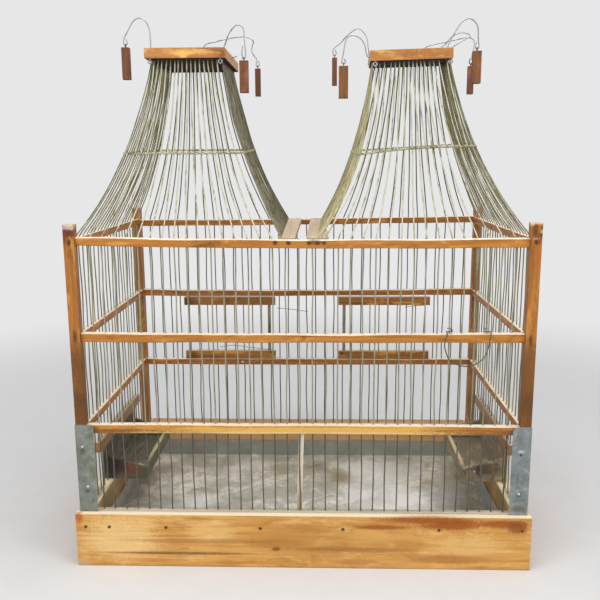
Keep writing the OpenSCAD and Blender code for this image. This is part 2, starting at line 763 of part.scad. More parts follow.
// A loose bow of wire that hangs in front of the middle rail from eyes round two wires
module wire_bail() {
  bow = 24.5;                          // radius of the bow
  bow_r = 0.7;                         // radius of its wire
  x = 189;                             // middle of the bow, between two cage wires
  y = -post_y - 1.2;
  low = rail_z[1] - 9.3;               // centre of the round part
  eye_z = rail_z[1] + 3.5;
  eye = bow - 1.5 * wire_pitch;        // radius of an eye, loose on its wire
  elbow = 2;
  color(steel) {
    arc_wire([x, y, low], bow, 180, 180, bow_r);
    for (s = [-1, 1]) {
      upright(x + s * bow, y, low, eye_z - elbow, bow_r);
      translate([x + s * bow, y + elbow, eye_z - elbow])
        rotate([90, 0, 90])
          rotate([0, 0, 90])
            rotate_extrude(angle = 90) translate([elbow, 0]) circle(r = bow_r, $fn = 24);
      translate([x + s * bow, y + elbow, eye_z])
        rotate([-90, 0, 0]) cylinder(r = bow_r, h = -wire_y - y - elbow);
      translate([x + s * 1.5 * wire_pitch, -wire_y, eye_z])
        rotate([0, 0, s < 0 ? -90 : 0])
          rotate_extrude(angle = 270) translate([eye, 0]) circle(r = bow_r, $fn = 24);
    }
  }
}

base_front_board();
base_left_board();
base_right_board();
base_back_rail();
bottom_board();
front_left_post();
front_right_post();
back_left_post();
back_right_post();
front_top_rail();
front_middle_rail();
front_lower_rail();
back_rails();
left_side_rails();
right_side_rails();
bridge_planks();
left_spire_cap();
right_spire_cap();
front_wires();
back_wires();
wires_above_doors();
wires_below_doors();
left_side_wires();
right_side_wires();
left_spire_front_wires();
left_spire_back_wires();
left_spire_outer_wires();
left_spire_inner_wires();
right_spire_front_wires();
right_spire_back_wires();
right_spire_outer_wires();
right_spire_inner_wires();
left_tie_ring();
right_tie_ring();
left_cap_hooks();
right_cap_hooks();
left_corner_plate();
right_corner_plate();
plinth_nails();
frame_nails();
divider_slat();
glass_pane();
zinc_tray();
tray_front();
left_door_bars();
left_door_wires();
right_door_bars();
right_door_wires();
left_trough();
right_trough();
block_left_a();
block_left_b();
block_left_c();
block_right_a();
block_right_b();
block_right_c();
block_right_d();
wire_bail();
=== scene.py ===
import math
import random

import bmesh
import bpy
from mathutils import Matrix, Vector


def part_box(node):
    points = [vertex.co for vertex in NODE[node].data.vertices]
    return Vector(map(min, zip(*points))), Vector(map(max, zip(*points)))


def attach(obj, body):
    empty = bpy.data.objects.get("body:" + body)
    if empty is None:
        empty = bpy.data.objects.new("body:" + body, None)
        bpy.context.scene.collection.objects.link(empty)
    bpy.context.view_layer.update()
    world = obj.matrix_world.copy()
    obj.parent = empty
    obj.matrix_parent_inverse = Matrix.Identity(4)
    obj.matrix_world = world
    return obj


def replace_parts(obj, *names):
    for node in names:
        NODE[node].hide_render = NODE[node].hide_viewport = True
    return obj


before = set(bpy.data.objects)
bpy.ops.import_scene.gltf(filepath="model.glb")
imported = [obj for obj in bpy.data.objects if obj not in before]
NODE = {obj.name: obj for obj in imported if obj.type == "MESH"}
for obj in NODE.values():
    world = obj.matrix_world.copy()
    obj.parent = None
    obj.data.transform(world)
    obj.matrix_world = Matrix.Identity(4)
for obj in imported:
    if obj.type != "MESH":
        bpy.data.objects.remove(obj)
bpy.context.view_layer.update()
MM = 0.001
random.seed(7)

# ---- camera

CAMERA_PLACE = (0.02439, -0.94433, 0.47411)
CAMERA_YAW = 0.0316        # radians, towards the left
CAMERA_PITCH = 0.1890      # radians, downwards
CAMERA_ROLL = -0.0057
CAMERA_LENS = 43.15        # mm, on a 36 mm sensor


def place_camera():
    data = bpy.data.cameras.new("photo_camera")
    data.sensor_width = 36
    data.lens = CAMERA_LENS
    data.clip_start = 0.02
    cam = bpy.data.objects.new("photo_camera", data)
    bpy.context.scene.collection.objects.link(cam)
    cp, sp = math.cos(CAMERA_PITCH), math.sin(CAMERA_PITCH)
    ahead = Vector((-math.sin(CAMERA_YAW) * cp, math.cos(CAMERA_YAW) * cp, -sp))
    right = ahead.cross(Vector((0, 0, 1))).normalized()
    up = right.cross(ahead)
    cr, sr = math.cos(CAMERA_ROLL), math.sin(CAMERA_ROLL)
    right, up = right * cr + up * sr, up * cr - right * sr
    turn = Matrix((right, up, -ahead)).transposed().to_4x4()
    cam.matrix_world = Matrix.Translation(CAMERA_PLACE) @ turn
    bpy.context.scene.camera = cam


place_camera()

# ---- the cage's own sizes, mm

SIDES = ("left", "right")
PITCH = 14.0               # wire spacing
WIRE_R = 0.8
FRONT_N = 36               # wire spaces across the front; the posts take up the first and last place
SIDE_N = 20
BAY_N = 16                 # wires in the front row of one spire
SQUEEZE = 3.6              # how far the left bay's last front wire stands to the left
WIRE_Y = 147.5
WIRE_X = 256.5
SEAT_Z = 56.0              # feet of the wires, in the plinth
RAIL_Z = (172.5, 282.0, 391.5)
CAP_Z, CAP_OFF_Y = 594.4, -3.0
# Each cap: X of its middle, and its turns in degrees: nose down, to the side, about Z
CAPS = {"left": (-136.5, 0.0, 0.0, 0.0), "right": (131.0, 3.5, -1.0, -3.0)}
CAP_IN_Y = {"left": 61.0, "right": 62.5}
ROW_ENDS = {"left": (-37.3, 36.7), "right": (-40.4, 40.7)}
INNER_HEAD_X = {"left": 42.0, "right": -44.6}
OUTER_HEAD_X = {"left": -41.0, "right": 44.6}
INNER_FOOT_X = {"left": (-21.5, -26.0), "right": (17.5, 23.5)}
PLANK_T = 6.0
FLARE = 0.16
RING_SHARE, RING_Z, RING_FALL = 0.387, 485.5, 0.034
RING_MID = {"left": -139, "right": 138}
RING_TILT = {"left": 0.0, "right": 0.052}
RING_LIFT = {"left": 0.0, "right": 1.5}
RING_HUMP = {"left": 0.0, "right": 3.0}    # how far the front of a ring arches up
RING_FRONT_Y, HUMP_Y = -94, -60    # a ring's height is given for its front, and it arches in front of the second
RING_LEFT, RING_WIDE = 63, 133     # how far a ring's front reaches to the left of its middle, and its width
DOOR_SPAN = (6, 14)        # wire places cut away by the left door
TROUGH_SPAN = (6, 15)      # side wires cut away by a trough's opening
TROUGH_BAR_Z = 132.0
# How far each front wire stands off its even place, at the tie ring and at the cap
RING_OFF = {
    "left": (4.2, 2.7, 2.0, 2.0, 1.0, 1.0, 0.3, -0.7, -1.5, -1.9, -1.8, -2.2, -1.4, -2.6, -2.1, -2.3),
    "right": (8.6, 7.0, 5.7, 4.0, 3.2, 2.4, 2.3, 2.8, 1.8, 1.2, 0.2, -1.0, -1.4, -0.7, -1.1, -1.0)}
HEAD_OFF = {
    "left": (0.1, 0.0, -0.6, 0.0, -0.1, 0.0, -1.0, -1.5, -1.0, -1.1, -0.9, -0.9, -1.0, -1.2, -1.0, 0.0),
    "right": (0.0, -1.5, -1.0, 1.4, 0.6, 0.1, -0.2, -0.3, -0.9, -2.0, -2.7, -4.1, -3.5, -4.6, -3.6, 0.3)}
RAIL_H = 8.6               # how high a cross rail is
# How far each cross rail's top and underside stand off their even heights, at five places from
# left to right: the rails are cut by hand, and the top ones sag
RAIL_OFF = {
    ("front", 2): ((2.0, -0.3, -1.5, -1.5, -0.3), (1.1, -1.2, -2.4, -2.7, -1.9)),
    ("front", 1): ((1.8, 0.7, 0.4, 0.8, 2.0), (-0.5, -0.6, -0.6, -0.5, -0.2)),
    ("front", 0): ((1.1, 1.5, 1.6, 1.5, 1.1), (-1.2, -0.8, -0.6, -0.8, -1.2)),
    ("back", 2): ((-1.3, -1.7, -0.9, 1.0, 2.5), (-2.4, -1.9, -1.0, 0.5, 1.5)),
    ("back", 1): ((0.9, -0.6, -0.8, 0.2, 1.8), (-1.0, -1.4, -1.0, -0.2, 0.6)),
    ("back", 0): ((0.0, 0.0, 0.0, 0.0, 0.0), (-1.2, -1.5, -1.2, -0.8, -0.6))}
CORNER_PULL = 10.2         # how far the ring draws in the front corner of the right spire's inner row


def back_x(k):
    return (k - FRONT_N / 2) * PITCH


def front_x(k):
    share = (k - 1) / (BAY_N - 1) if k <= BAY_N else 1 - (k - BAY_N) / (FRONT_N - 2 * BAY_N)
    return back_x(k) - SQUEEZE * max(0, share)


def side_y(k):
    return (k - SIDE_N / 2) * PITCH


def in_door(k):
    return DOOR_SPAN[0] <= k <= DOOR_SPAN[1] or DOOR_SPAN[0] <= FRONT_N - k <= DOOR_SPAN[1]


def even(k, n, a, b):
    return a + (b - a) * k / n


def cap_underside(side, x, y):
    mid, nose, lean, turn = CAPS[side]
    up = Matrix.Rotation(math.radians(turn), 3, "Z") @ Matrix.Rotation(math.radians(lean), 3, "Y") \
        @ Matrix.Rotation(math.radians(nose), 3, "X") @ Vector((0, 0, 1))
    return CAP_Z - (up.x * (x - mid) + up.y * (y - CAP_OFF_Y)) / up.z


def head_place(side, u, v):
    """A wire's head under a cap, u sideways and v to the back from the cap's middle."""
    mid, turn = CAPS[side][0], math.radians(CAPS[side][3])
    x = mid + u * math.cos(turn) - v * math.sin(turn)
    y = CAP_OFF_Y + u * math.sin(turn) + v * math.cos(turn)
    return Vector((x, y, cap_underside(side, x, y)))


def sign(side):
    return -1 if side == "left" else 1


def row_place(side, i):
    """The cage wire that wire i of a spire's front or back row belongs to."""
    return 1 + i if side == "left" else FRONT_N - BAY_N + i


def spire_ends(side, row, i):
    """Foot and head of a spire wire; its row is front, back, outer or inner."""
    foot_z = RAIL_Z[2]
    if row in ("front", "back"):
        y = -1 if row == "front" else 1
        place = row_place(side, i)
        foot = Vector((front_x(place) if y < 0 else back_x(place), y * WIRE_Y, foot_z))
        return foot, head_place(side, even(i, BAY_N - 1, *ROW_ENDS[side]), y * CAP_IN_Y[side])
    if row == "outer":
        foot_x, u = sign(side) * WIRE_X, OUTER_HEAD_X[side]
    else:
        foot_x, u = even(i, SIDE_N, *INNER_FOOT_X[side]), INNER_HEAD_X[side]
    v = CAP_IN_Y[side] - 4
    return Vector((foot_x, side_y(i), foot_z)), head_place(side, u, even(i, SIDE_N, -v, v))


def spire_arc(foot, head):
    """The bowed line of a spire wire, as a function of the share of the way up."""
    d = foot - head
    reach, rise = math.hypot(d.x, d.y), head.z - foot.z
    chord = math.hypot(reach, rise)
    sag = FLARE * reach * rise / chord
    radius = chord * chord / (8 * sag) + sag / 2
    half = math.asin(chord / (2 * radius))
    turn = math.pi + math.atan2(reach, rise)
    cu = reach / 2 + (radius - sag) * rise / chord
    cz = rise / 2 + (radius - sag) * reach / chord
    out = Vector((d.x / reach, d.y / reach, 0))

    def at(t):
        a = turn + half * (1 - 2 * t)
        u, z = cu + radius * math.cos(a), cz + radius * math.sin(a)
        return Vector((head.x, head.y, foot.z + z)) + out * u
    return at


def ring_height(side, foot, head):
    near = head + (foot - head) * RING_SHARE
    z = RING_Z + RING_LIFT[side] + RING_TILT[side] * (near.x - RING_MID[side]) + RING_FALL * (near.y - RING_FRONT_Y)
    if near.y < HUMP_Y:
        across = (near.x - RING_MID[side] + RING_LEFT) / RING_WIDE
        z += RING_HUMP[side] * math.sin(math.pi * min(max(0.13 + across * 0.79, 0), 1))
    return z


def ring_share(side, foot, head):
    """The share of the way up at which a spire wire meets the tie ring."""
    arc, z = spire_arc(foot, head), ring_height(side, foot, head)
    low, high = 0.0, 1.0
    for _ in range(30):
        mid = (low + high) / 2
        low, high = (mid, high) if arc(mid).z < z else (low, mid)
    return (low + high) / 2


# ---- mesh helpers


def loft(mesh, rings, closed=False):
    """Adds a skin over rings of points, with ends unless it is closed, to the points and faces of a mesh."""
    verts, faces = mesh
    base, n, sides = len(verts), len(rings), len(rings[0])
    for ring in rings:
        verts.extend(p * MM for p in ring)
    for i in range(n if closed else n - 1):
        a, b = base + i * sides, base + (i + 1) % n * sides
        for j in range(sides):
            k = (j + 1) % sides
            faces.append((a + j, a + k, b + k, b + j))
    if not closed:
        faces.append(tuple(base + j for j in reversed(range(sides))))
        faces.append(tuple(base + (n - 1) * sides + j for j in range(sides)))


def tube_faces(mesh, line, radius, sides=8, closed=False):
    """Adds a wire along a line of points to a mesh under construction."""
    n = len(line)
    ref, rings = None, []
    for i, p in enumerate(line):
        a = line[i - 1] if closed or i else p
        b = line[(i + 1) % n] if closed or i < n - 1 else p
        t = (b - a).normalized()
        if ref is None:
            ref = t.orthogonal().normalized()
        ref = (ref - t * ref.dot(t)).normalized()
        side = t.cross(ref)
        angles = (2 * math.pi * j / sides for j in range(sides))
        rings.append([p + radius * (math.cos(q) * ref + math.sin(q) * side) for q in angles])
    loft(mesh, rings, closed)


def piece_from(name, parts, material, body="cage", smooth=True):
    mesh = bpy.data.meshes.new(name)
    mesh.from_pydata([tuple(v) for v in parts[0]], [], parts[1])
    mesh.validate()
    bm = bmesh.new()
    bm.from_mesh(mesh)
    bmesh.ops.recalc_face_normals(bm, faces=bm.faces)
    bm.to_mesh(mesh)
    bm.free()
    for poly in mesh.polygons:
        poly.use_smooth = smooth
    mesh.materials.append(material)
    obj = bpy.data.objects.new(name, mesh)
    bpy.context.scene.collection.objects.link(obj)
    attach(obj, body)
    return obj


def smooth_line(points, steps):
    """A smooth line through points."""
    pts = [Vector(p) for p in points]
    out = []
    for i in range(len(pts) - 1):
        a = pts[i - 1] if i else 2 * pts[0] - pts[1]
        b, c = pts[i], pts[i + 1]
        d = pts[i + 2] if i + 2 < len(pts) else 2 * pts[-1] - pts[-2]
        for j in range(steps):
            t = j / steps
            out.append(0.5 * (2 * b + (c - a) * t + (2 * a - 5 * b + 4 * c - d) * t * t
                              + (3 * b - a - 3 * c + d) * t ** 3))
    out.append(pts[-1])
    return out


def wander(seed, amount):
    """A small hand-made bend of a wire: two slow waves with a wire's own phases."""
    rng = random.Random(seed)
    waves = [(rng.uniform(0.5, 1.0) * amount * rng.choice((-1, 1)), rng.uniform(0.02, 0.055), rng.uniform(0, 6.28))
             for _ in range(2)]
    return lambda z: sum(a * math.sin(f * z + p) for a, f, p in waves)


# ---- shader groups

KINDS = {"c": "NodeSocketColor", "f": "NodeSocketFloat", "v": "NodeSocketVector"}


def new_group(name, inputs, outputs):
    """A node group; each input and output is written as its kind's letter and its label."""
    g = bpy.data.node_groups.new(name, "ShaderNodeTree")
    for way, sockets in (("INPUT", inputs), ("OUTPUT", outputs)):
        for text in filter(None, sockets.split(", ")):
            kind, label = text.split(" ", 1)
            g.interface.new_socket(label, in_out=way, socket_type=KINDS[kind])
    w = Wiring(g)
    return g, w, w.add("NodeGroupInput").outputs, w.add("NodeGroupOutput").inputs


class Wiring:
    """Short ways to add nodes to one node tree."""

    def __init__(self, tree):
        self.tree = tree

    def add(self, kind, **settings):
        n = self.tree.nodes.new(kind)
        for k, v in settings.items():
            setattr(n, k, v)
        return n

    def feed(self, socket, value):
        if isinstance(value, bpy.types.NodeSocket):
            self.tree.links.new(value, socket)
        elif value is not None:
            socket.default_value = value

    def math(self, op, a, b=None, clamp=False):
        n = self.add("ShaderNodeMath", operation=op, use_clamp=clamp)
        self.feed(n.inputs[0], a)
        self.feed(n.inputs[1], b)
        return n.outputs[0]

    def times(self, a, b, clamp=False):
        return self.math("MULTIPLY", a, b, clamp)

    def plus(self, a, b, clamp=False):
        return self.math("ADD", a, b, clamp)

    def minus(self, a, b, clamp=False):
        return self.math("SUBTRACT", a, b, clamp)

    def vec(self, op, a, b=None):
        n = self.add("ShaderNodeVectorMath", operation=op)
        self.feed(n.inputs[0], a)
        self.feed(n.inputs[1], b)
        return n.outputs["Value"] if op in ("DOT_PRODUCT", "LENGTH", "DISTANCE") else n.outputs["Vector"]

    def place(self):
        return self.group(PLACE)["Place"]

    def lay(self, colour, tint, mask, share):
        """A tint laid over a colour where a mask says so."""
        return self.mix(self.times(mask, share), colour, tint)

    def mix(self, share, a, b):
        n = self.add("ShaderNodeMix", data_type="RGBA")
        self.feed(n.inputs["Factor"], share)
        self.feed(n.inputs[6], a)
        self.feed(n.inputs[7], b)
        return n.outputs[2]

    def filled(self, kind, values, **settings):
        """The first output of a new node, after its inputs are fed by name."""
        n = self.add(kind, **settings)
        for name, value in values.items():
            self.feed(n.inputs[name], value)
        return n.outputs[0]

    def noise(self, vector, scale, detail=3.0, rough=0.55, distortion=0.0):
        return self.filled("ShaderNodeTexNoise", {"Vector": vector, "Scale": scale, "Detail": detail,
                                                  "Roughness": rough, "Distortion": distortion})

    def ramp(self, value, lo, hi, to_lo=0.0, to_hi=1.0):
        return self.filled("ShaderNodeMapRange", {"Value": value, "From Min": lo, "From Max": hi, "To Min": to_lo,
                                                  "To Max": to_hi}, interpolation_type="SMOOTHSTEP")

    def group(self, group, **values):
        n = self.add("ShaderNodeGroup", node_tree=group)
        for k, v in values.items():
            self.feed(n.inputs[k.replace("_", " ")], v)
        return n.outputs


def build_place_group():
    """Object coordinates in millimetres."""
    g, w, gin, gout = new_group("place_mm", "", "v Place")
    co = w.add("ShaderNodeTexCoord").outputs["Object"]
    w.feed(gout["Place"], w.vec("SCALE", co))
    g.nodes[-1].inputs["Scale"].default_value = 1000
    return g


def build_grain_group():
    """Wood: long growth lines, pores and bright and dark patches of old varnish."""
    g, w, gin, gout = new_group(
        "wood_grain", "v Along, f Seed, c Pale, c Deep, c Bright, c Dark, f Contrast, f Patches",
        "c Color, f Lines")
    place = w.place()
    shift = w.add("ShaderNodeCombineXYZ")
    for i, m in enumerate((37.0, 61.0, 83.0)):
        w.feed(shift.inputs[i], w.times(gin["Seed"], m))
    place = w.vec("ADD", place, shift.outputs[0])
    stretched = w.vec("MULTIPLY", place, gin["Along"])
    bands = w.noise(stretched, 0.22, 4, 0.6, 0.6)
    fine = w.noise(stretched, 1.4, 5, 0.7)
    pores = w.ramp(w.noise(stretched, 3.2, 2, 0.5), 0.60, 0.72)
    drift = w.noise(place, 0.012, 3, 0.6)
    lines = w.plus(w.times(bands, 0.62), w.times(fine, 0.38))
    share = w.ramp(lines, w.minus(0.5, w.times(gin["Contrast"], 0.25)),
                   w.plus(0.5, w.times(gin["Contrast"], 0.25)))
    colour = w.mix(share, gin["Deep"], gin["Pale"])
    colour = w.mix(w.ramp(drift, 0.35, 0.7, 0.0, 0.35), colour, gin["Deep"])
    varnish = w.vec("MULTIPLY", place, w.vec("ADD", w.vec("MULTIPLY", gin["Along"], (0.7, 0.7, 0.7)),
                                             (0.3, 0.3, 0.3)))
    shine = w.ramp(w.noise(varnish, 0.075, 5, 0.66, 0.4), 0.52, 0.66)
    murk = w.ramp(w.noise(w.vec("ADD", varnish, (91, 17, 43)), 0.065, 6, 0.68, 0.6), 0.53, 0.70)
    colour = w.lay(colour, gin["Bright"], shine, gin["Patches"])
    colour = w.lay(colour, gin["Dark"], murk, gin["Patches"])
    colour = w.lay(colour, gin["Deep"], pores, 0.35)
    w.feed(gout["Color"], colour)
    w.feed(gout["Lines"], w.minus(lines, w.times(pores, 0.25)))
    return g


def build_facing_group():
    """Which way a face of a piece points, with a ragged border."""
    g, w, gin, gout = new_group("facing", "f Ragged", "f Up, f Down, f Sideways")
    part = w.add("ShaderNodeSeparateXYZ")
    w.feed(part.inputs[0], w.add("ShaderNodeTexCoord").outputs["Normal"])
    place = w.place()
    torn = w.times(w.minus(w.noise(place, 0.16, 5, 0.7), 0.5), gin["Ragged"])
    w.feed(gout["Up"], w.ramp(w.plus(part.outputs[2], torn), 0.45, 0.8))
    w.feed(gout["Down"], w.ramp(w.plus(part.outputs[2], torn), -0.45, -0.8))
    w.feed(gout["Sideways"], w.ramp(w.plus(w.math("ABSOLUTE", part.outputs[0]), torn), 0.45, 0.8))
    return g


def build_edge_group():
    """Edges where the surface turns, broken up by noise; on wood this mask carries both real rubbing and a painted
    highlight of the light from above.
    """
    g, w, gin, gout = new_group("worn_edges", "f Width mm, f Breakup", "f Mask, v Rounded")
    bevel = w.add("ShaderNodeBevel", samples=4)
    w.feed(bevel.inputs["Radius"], w.times(gin["Width mm"], MM))
    normal = w.add("ShaderNodeNewGeometry").outputs["Normal"]
    turn = w.minus(1.0, w.vec("DOT_PRODUCT", bevel.outputs["Normal"], normal))
    edge = w.ramp(turn, 0.002, 0.12)
    place = w.place()
    broken = w.ramp(w.noise(place, 0.25, 4, 0.65), 0.35, 0.62)
    keep = w.minus(1.0, w.times(gin["Breakup"], w.minus(1.0, broken)))
    w.feed(gout["Mask"], w.times(edge, keep, clamp=True))
    w.feed(gout["Rounded"], bevel.outputs["Normal"])
    return g


def build_shade_and_dirt_group():
    """Painted shade in corners and crevices, from ambient occlusion, with dirt in uneven patches."""
    g, w, gin, gout = new_group("corner_shade_and_dirt", "f Reach mm, f Patches", "f Mask")
    ao = w.add("ShaderNodeAmbientOcclusion", samples=4)
    w.feed(ao.inputs["Distance"], w.times(gin["Reach mm"], MM))
    place = w.place()
    # The corner part is painted shade, darker where ambient occlusion finds other surfaces near.
    corner = w.ramp(ao.outputs["AO"], 0.75, 0.25)
    patches = w.ramp(w.noise(place, 0.035, 5, 0.7), 0.52, 0.75)
    spots = w.ramp(w.noise(place, 0.4, 3, 0.6), 0.68, 0.8)
    both = w.plus(patches, w.times(spots, 0.6))
    total = w.plus(corner, w.times(both, gin["Patches"]))
    w.feed(gout["Mask"], w.math("MINIMUM", total, 1.0))
    return g


def build_spot_group():
    """A soft round or oval stain about a place, such as rust round a nail."""
    g, w, gin, gout = new_group("stain_spot", "v Centre mm, v Size mm", "f Mask")
    place = w.place()
    away = w.vec("DIVIDE", w.vec("SUBTRACT", place, gin["Centre mm"]), gin["Size mm"])
    rim = w.plus(w.vec("LENGTH", away), w.times(w.noise(place, 0.5, 4, 0.7), 0.7))
    w.feed(gout["Mask"], w.ramp(rim, 1.35, 0.55))
    return g


def build_tarnish_group():
    """Old iron wire, each length its own: bare grey, olive tarnish, cream lengths and rust specks."""
    g, w, gin, gout = new_group("wire_tarnish", "c Bare, c Tarnish, c Dark, c Rust, f Amount",
                                "c Color, f Dull, f Height")
    place = w.place()
    slow = w.noise(w.vec("MULTIPLY", place, (0.11, 0.11, 0.012)), 1.0, 3, 0.6)
    other = w.noise(w.vec("ADD", w.vec("MULTIPLY", place, (0.13, 0.13, 0.02)), (7, 31, 11)), 1.0, 4, 0.65)
    fine = w.noise(place, 0.9, 4, 0.7)
    level = w.minus(0.78, w.times(gin["Amount"], 0.55))
    olive = w.ramp(w.plus(w.times(slow, 0.8), w.times(fine, 0.2)), level, w.plus(level, 0.14))
    black = w.ramp(w.plus(w.times(other, 0.85), w.times(fine, 0.15)), 0.52, 0.66)
    rust = w.ramp(w.noise(place, 0.16, 5, 0.75), 0.66, 0.76)
    colour = w.mix(olive, gin["Bare"], gin["Tarnish"])
    colour = w.lay(colour, gin["Dark"], black, 0.8)
    colour = w.lay(colour, gin["Rust"], rust, 0.6)
    w.feed(gout["Color"], colour)
    w.feed(gout["Dull"], w.math("MAXIMUM", w.math("MAXIMUM", olive, black), rust))
    w.feed(gout["Height"], fine)
    return g


def build_zinc_group():
    """Zinc sheet: bright and dark clouds, olive stains, a fine spangle and scratches."""
    g, w, gin, gout = new_group("zinc_cloud", "c Bright, c Grey, c Dark, c Stain, f Grain mm, f Seed",
                                "c Color, f Dull, f Height")
    place = w.place()
    shift = w.add("ShaderNodeCombineXYZ")
    w.feed(shift.inputs[0], w.times(gin["Seed"], 53.0))
    place = w.vec("ADD", place, shift.outputs[0])
    scale = w.math("DIVIDE", 1.0, gin["Grain mm"])
    cloud = w.noise(place, w.times(scale, 0.45), 6, 0.66, 0.5)
    smear = w.noise(w.vec("ADD", place, (311, 127, 59)), scale, 6, 0.68, 0.7)
    olive = w.noise(w.vec("ADD", place, (17, 431, 89)), w.times(scale, 0.8), 5, 0.7, 0.4)
    fine = w.noise(place, w.times(scale, 6.0), 4, 0.7)
    scratch = w.ramp(w.noise(w.vec("MULTIPLY", place, (0.02, 1.1, 1)), 0.9, 2, 0.5), 0.66, 0.7)
    light = w.plus(w.times(cloud, 0.5), w.times(smear, 0.5))
    light = w.plus(w.times(light, 0.86), w.times(fine, 0.14))
    dull = w.ramp(light, 0.60, 0.47)
    colour = w.mix(dull, gin["Bright"], gin["Grey"])
    colour = w.mix(w.ramp(light, 0.47, 0.36), colour, gin["Dark"])
    colour = w.mix(w.ramp(olive, 0.54, 0.70, 0.0, 0.75), colour, gin["Stain"])
    colour = w.lay(colour, gin["Bright"], scratch, 0.18)
    w.feed(gout["Color"], colour)
    w.feed(gout["Dull"], dull)
    w.feed(gout["Height"], w.minus(light, w.times(scratch, 0.1)))
    return g


PLACE = build_place_group()
GRAIN = build_grain_group()
FACING = build_facing_group()
EDGES = build_edge_group()
SHADE_AND_DIRT = build_shade_and_dirt_group()
SPOT = build_spot_group()
TARNISH = build_tarnish_group()
ZINC = build_zinc_group()

# ---- materials


def srgb(r, g, b):
    """A colour as it is seen on screen, 0 to 255, as the linear colour that shaders use."""
    lin = [c / 255 / 12.92 if c / 255 <= 0.04045 else ((c / 255 + 0.055) / 1.055) ** 2.4 for c in (r, g, b)]
    return (*lin, 1.0)


def new_material(name):
    m = bpy.data.materials.new(name)
    m.use_nodes = True
    m.node_tree.nodes.clear()
    w = Wiring(m.node_tree)
    shader = w.add("ShaderNodeBsdfPrincipled")
    w.feed(w.add("ShaderNodeOutputMaterial").inputs[0], shader.outputs[0])
    return m, w, shader


def bump(w, shader, height, strength, distance_mm, normal=None):
    b = w.add("ShaderNodeBump")
    b.inputs["Strength"].default_value = strength
    b.inputs["Distance"].default_value = distance_mm * MM
    w.feed(b.inputs["Height"], height)
    w.feed(b.inputs["Normal"], normal)
    w.feed(shader.inputs["Normal"], b.outputs["Normal"])


def spot_mask(w, centre, size):
    return w.group(SPOT, Centre_mm=centre, Size_mm=size)["Mask"]


GRAIN_ALONG = {"x": (0.035, 1.0, 1.0), "y": (1.0, 0.035, 1.0), "z": (1.0, 1.0, 0.035)}


def wood(name, along, pale, deep, bright=None, dark=None, seed=0.0, contrast=0.6, patches=0.6, worn_and_lit=None,
         wear=0.6, wear_mm=1.2, top=None, top_light_share=0.7, under=None, under_shade_share=0.75, side=None, side_shade_share=0.5,
         grime=0.3, shade_and_dirt_colour=(70, 40, 22), gloss=0.42, coat=0.12, marks_and_painted_light=()):
    """Wood with grain along one axis, patchy varnish, a painted highlight with dust on tops, painted shade on
    undersides and sides, painted corner shade with patchy dirt, edges rubbed pale with a painted highlight, and stain
    marks, some of them painted highlights and shadows.
    """
    m, w, shader = new_material(name)
    grain = w.group(GRAIN, Along=GRAIN_ALONG[along], Seed=seed, Pale=srgb(*pale), Deep=srgb(*deep),
                    Bright=srgb(*(bright or pale)), Dark=srgb(*(dark or deep)), Contrast=contrast,
                    Patches=patches)
    colour, lines = grain["Color"], grain["Lines"]
    faces = w.group(FACING, Ragged=0.5)
    # Painted light and shade by which way a face points: top is a painted highlight with some dust on faces that point
    # up, under is painted shade on undersides, side is painted shade on side faces.
    for tint, share, way in ((top, top_light_share, "Up"), (under, under_shade_share, "Down"), (side, side_shade_share, "Sideways")):
        if tint:
            colour = w.lay(colour, srgb(*tint), faces[way], share)
    # Painted shade in corners and crevices, with dirt in patches, laid in the shade-and-dirt colour.
    dirt = w.group(SHADE_AND_DIRT, Reach_mm=7.0, Patches=grime)["Mask"]
    colour = w.lay(colour, srgb(*shade_and_dirt_colour), dirt, 0.5)
    edge = w.group(EDGES, Width_mm=wear_mm, Breakup=0.7)
    # Edges rubbed pale by wear and lightened further as a painted highlight.
    if worn_and_lit:
        colour = w.lay(colour, srgb(*worn_and_lit), edge["Mask"], wear)
    streak = w.times(w.minus(lines, 0.5), 1.6)
    # Stains, and spots of painted light and shade laid the same way, such as the caps' highlights and the door bars'
    # shadows.
    for centre, size, tint, share in marks_and_painted_light:
        mark_mask = w.ramp(w.plus(spot_mask(w, centre, size), streak), 0.15, 1.0)
        colour = w.lay(colour, srgb(*tint), mark_mask, share)
    w.feed(shader.inputs["Base Color"], colour)
    rough = w.plus(w.plus(gloss, w.times(lines, 0.18)), w.times(w.math("MAXIMUM", dirt, edge["Mask"]), 0.2))
    w.feed(shader.inputs["Roughness"], w.math("MAXIMUM", rough, faces["Down"]))
    shader.inputs["Specular IOR Level"].default_value = 0.25
    if coat:
        w.feed(shader.inputs["Coat Weight"], w.times(w.minus(1.0, faces["Down"], clamp=True), coat))
    shader.inputs["Coat Roughness"].default_value = 0.35
    bump(w, shader, lines, 0.35, 0.35, edge["Rounded"])
    return m


def metal_surface(w, shader, colour, dull, height, metal, dulled, rough, bump_mm):
    """Colour, metal and roughness of a metal that is less metallic and rougher where it is dull."""
    w.feed(shader.inputs["Base Color"], colour)
    w.feed(shader.inputs["Metallic"], w.minus(metal, w.times(dull, metal * dulled)))
    w.feed(shader.inputs["Roughness"], w.plus(rough, w.times(dull, 0.2)))
    bump(w, shader, height, 0.3, bump_mm)


def wire_metal(name, bare, tarnish, dark, rust, amount, metal=0.4, rough=0.42, lower=()):
    """Wire; lower holds heights in mm below which it darkens as painted shade: (from z, to z, tint, share)."""
    m, w, shader = new_material(name)
    t = w.group(TARNISH, Bare=srgb(*bare), Tarnish=srgb(*tarnish), Dark=srgb(*dark), Rust=srgb(*rust),
                Amount=amount)
    colour = t["Color"]
    height = w.add("ShaderNodeSeparateXYZ")
    w.feed(height.inputs[0], w.place())
    # Painted shade below the given heights.
    for z0, z1, tint, share in lower:
        colour = w.lay(colour, srgb(*tint), w.ramp(height.outputs[2], z0, z1), share)
    metal_surface(w, shader, colour, t["Dull"], t["Height"], metal, 0.6, rough, 0.15)
    return m


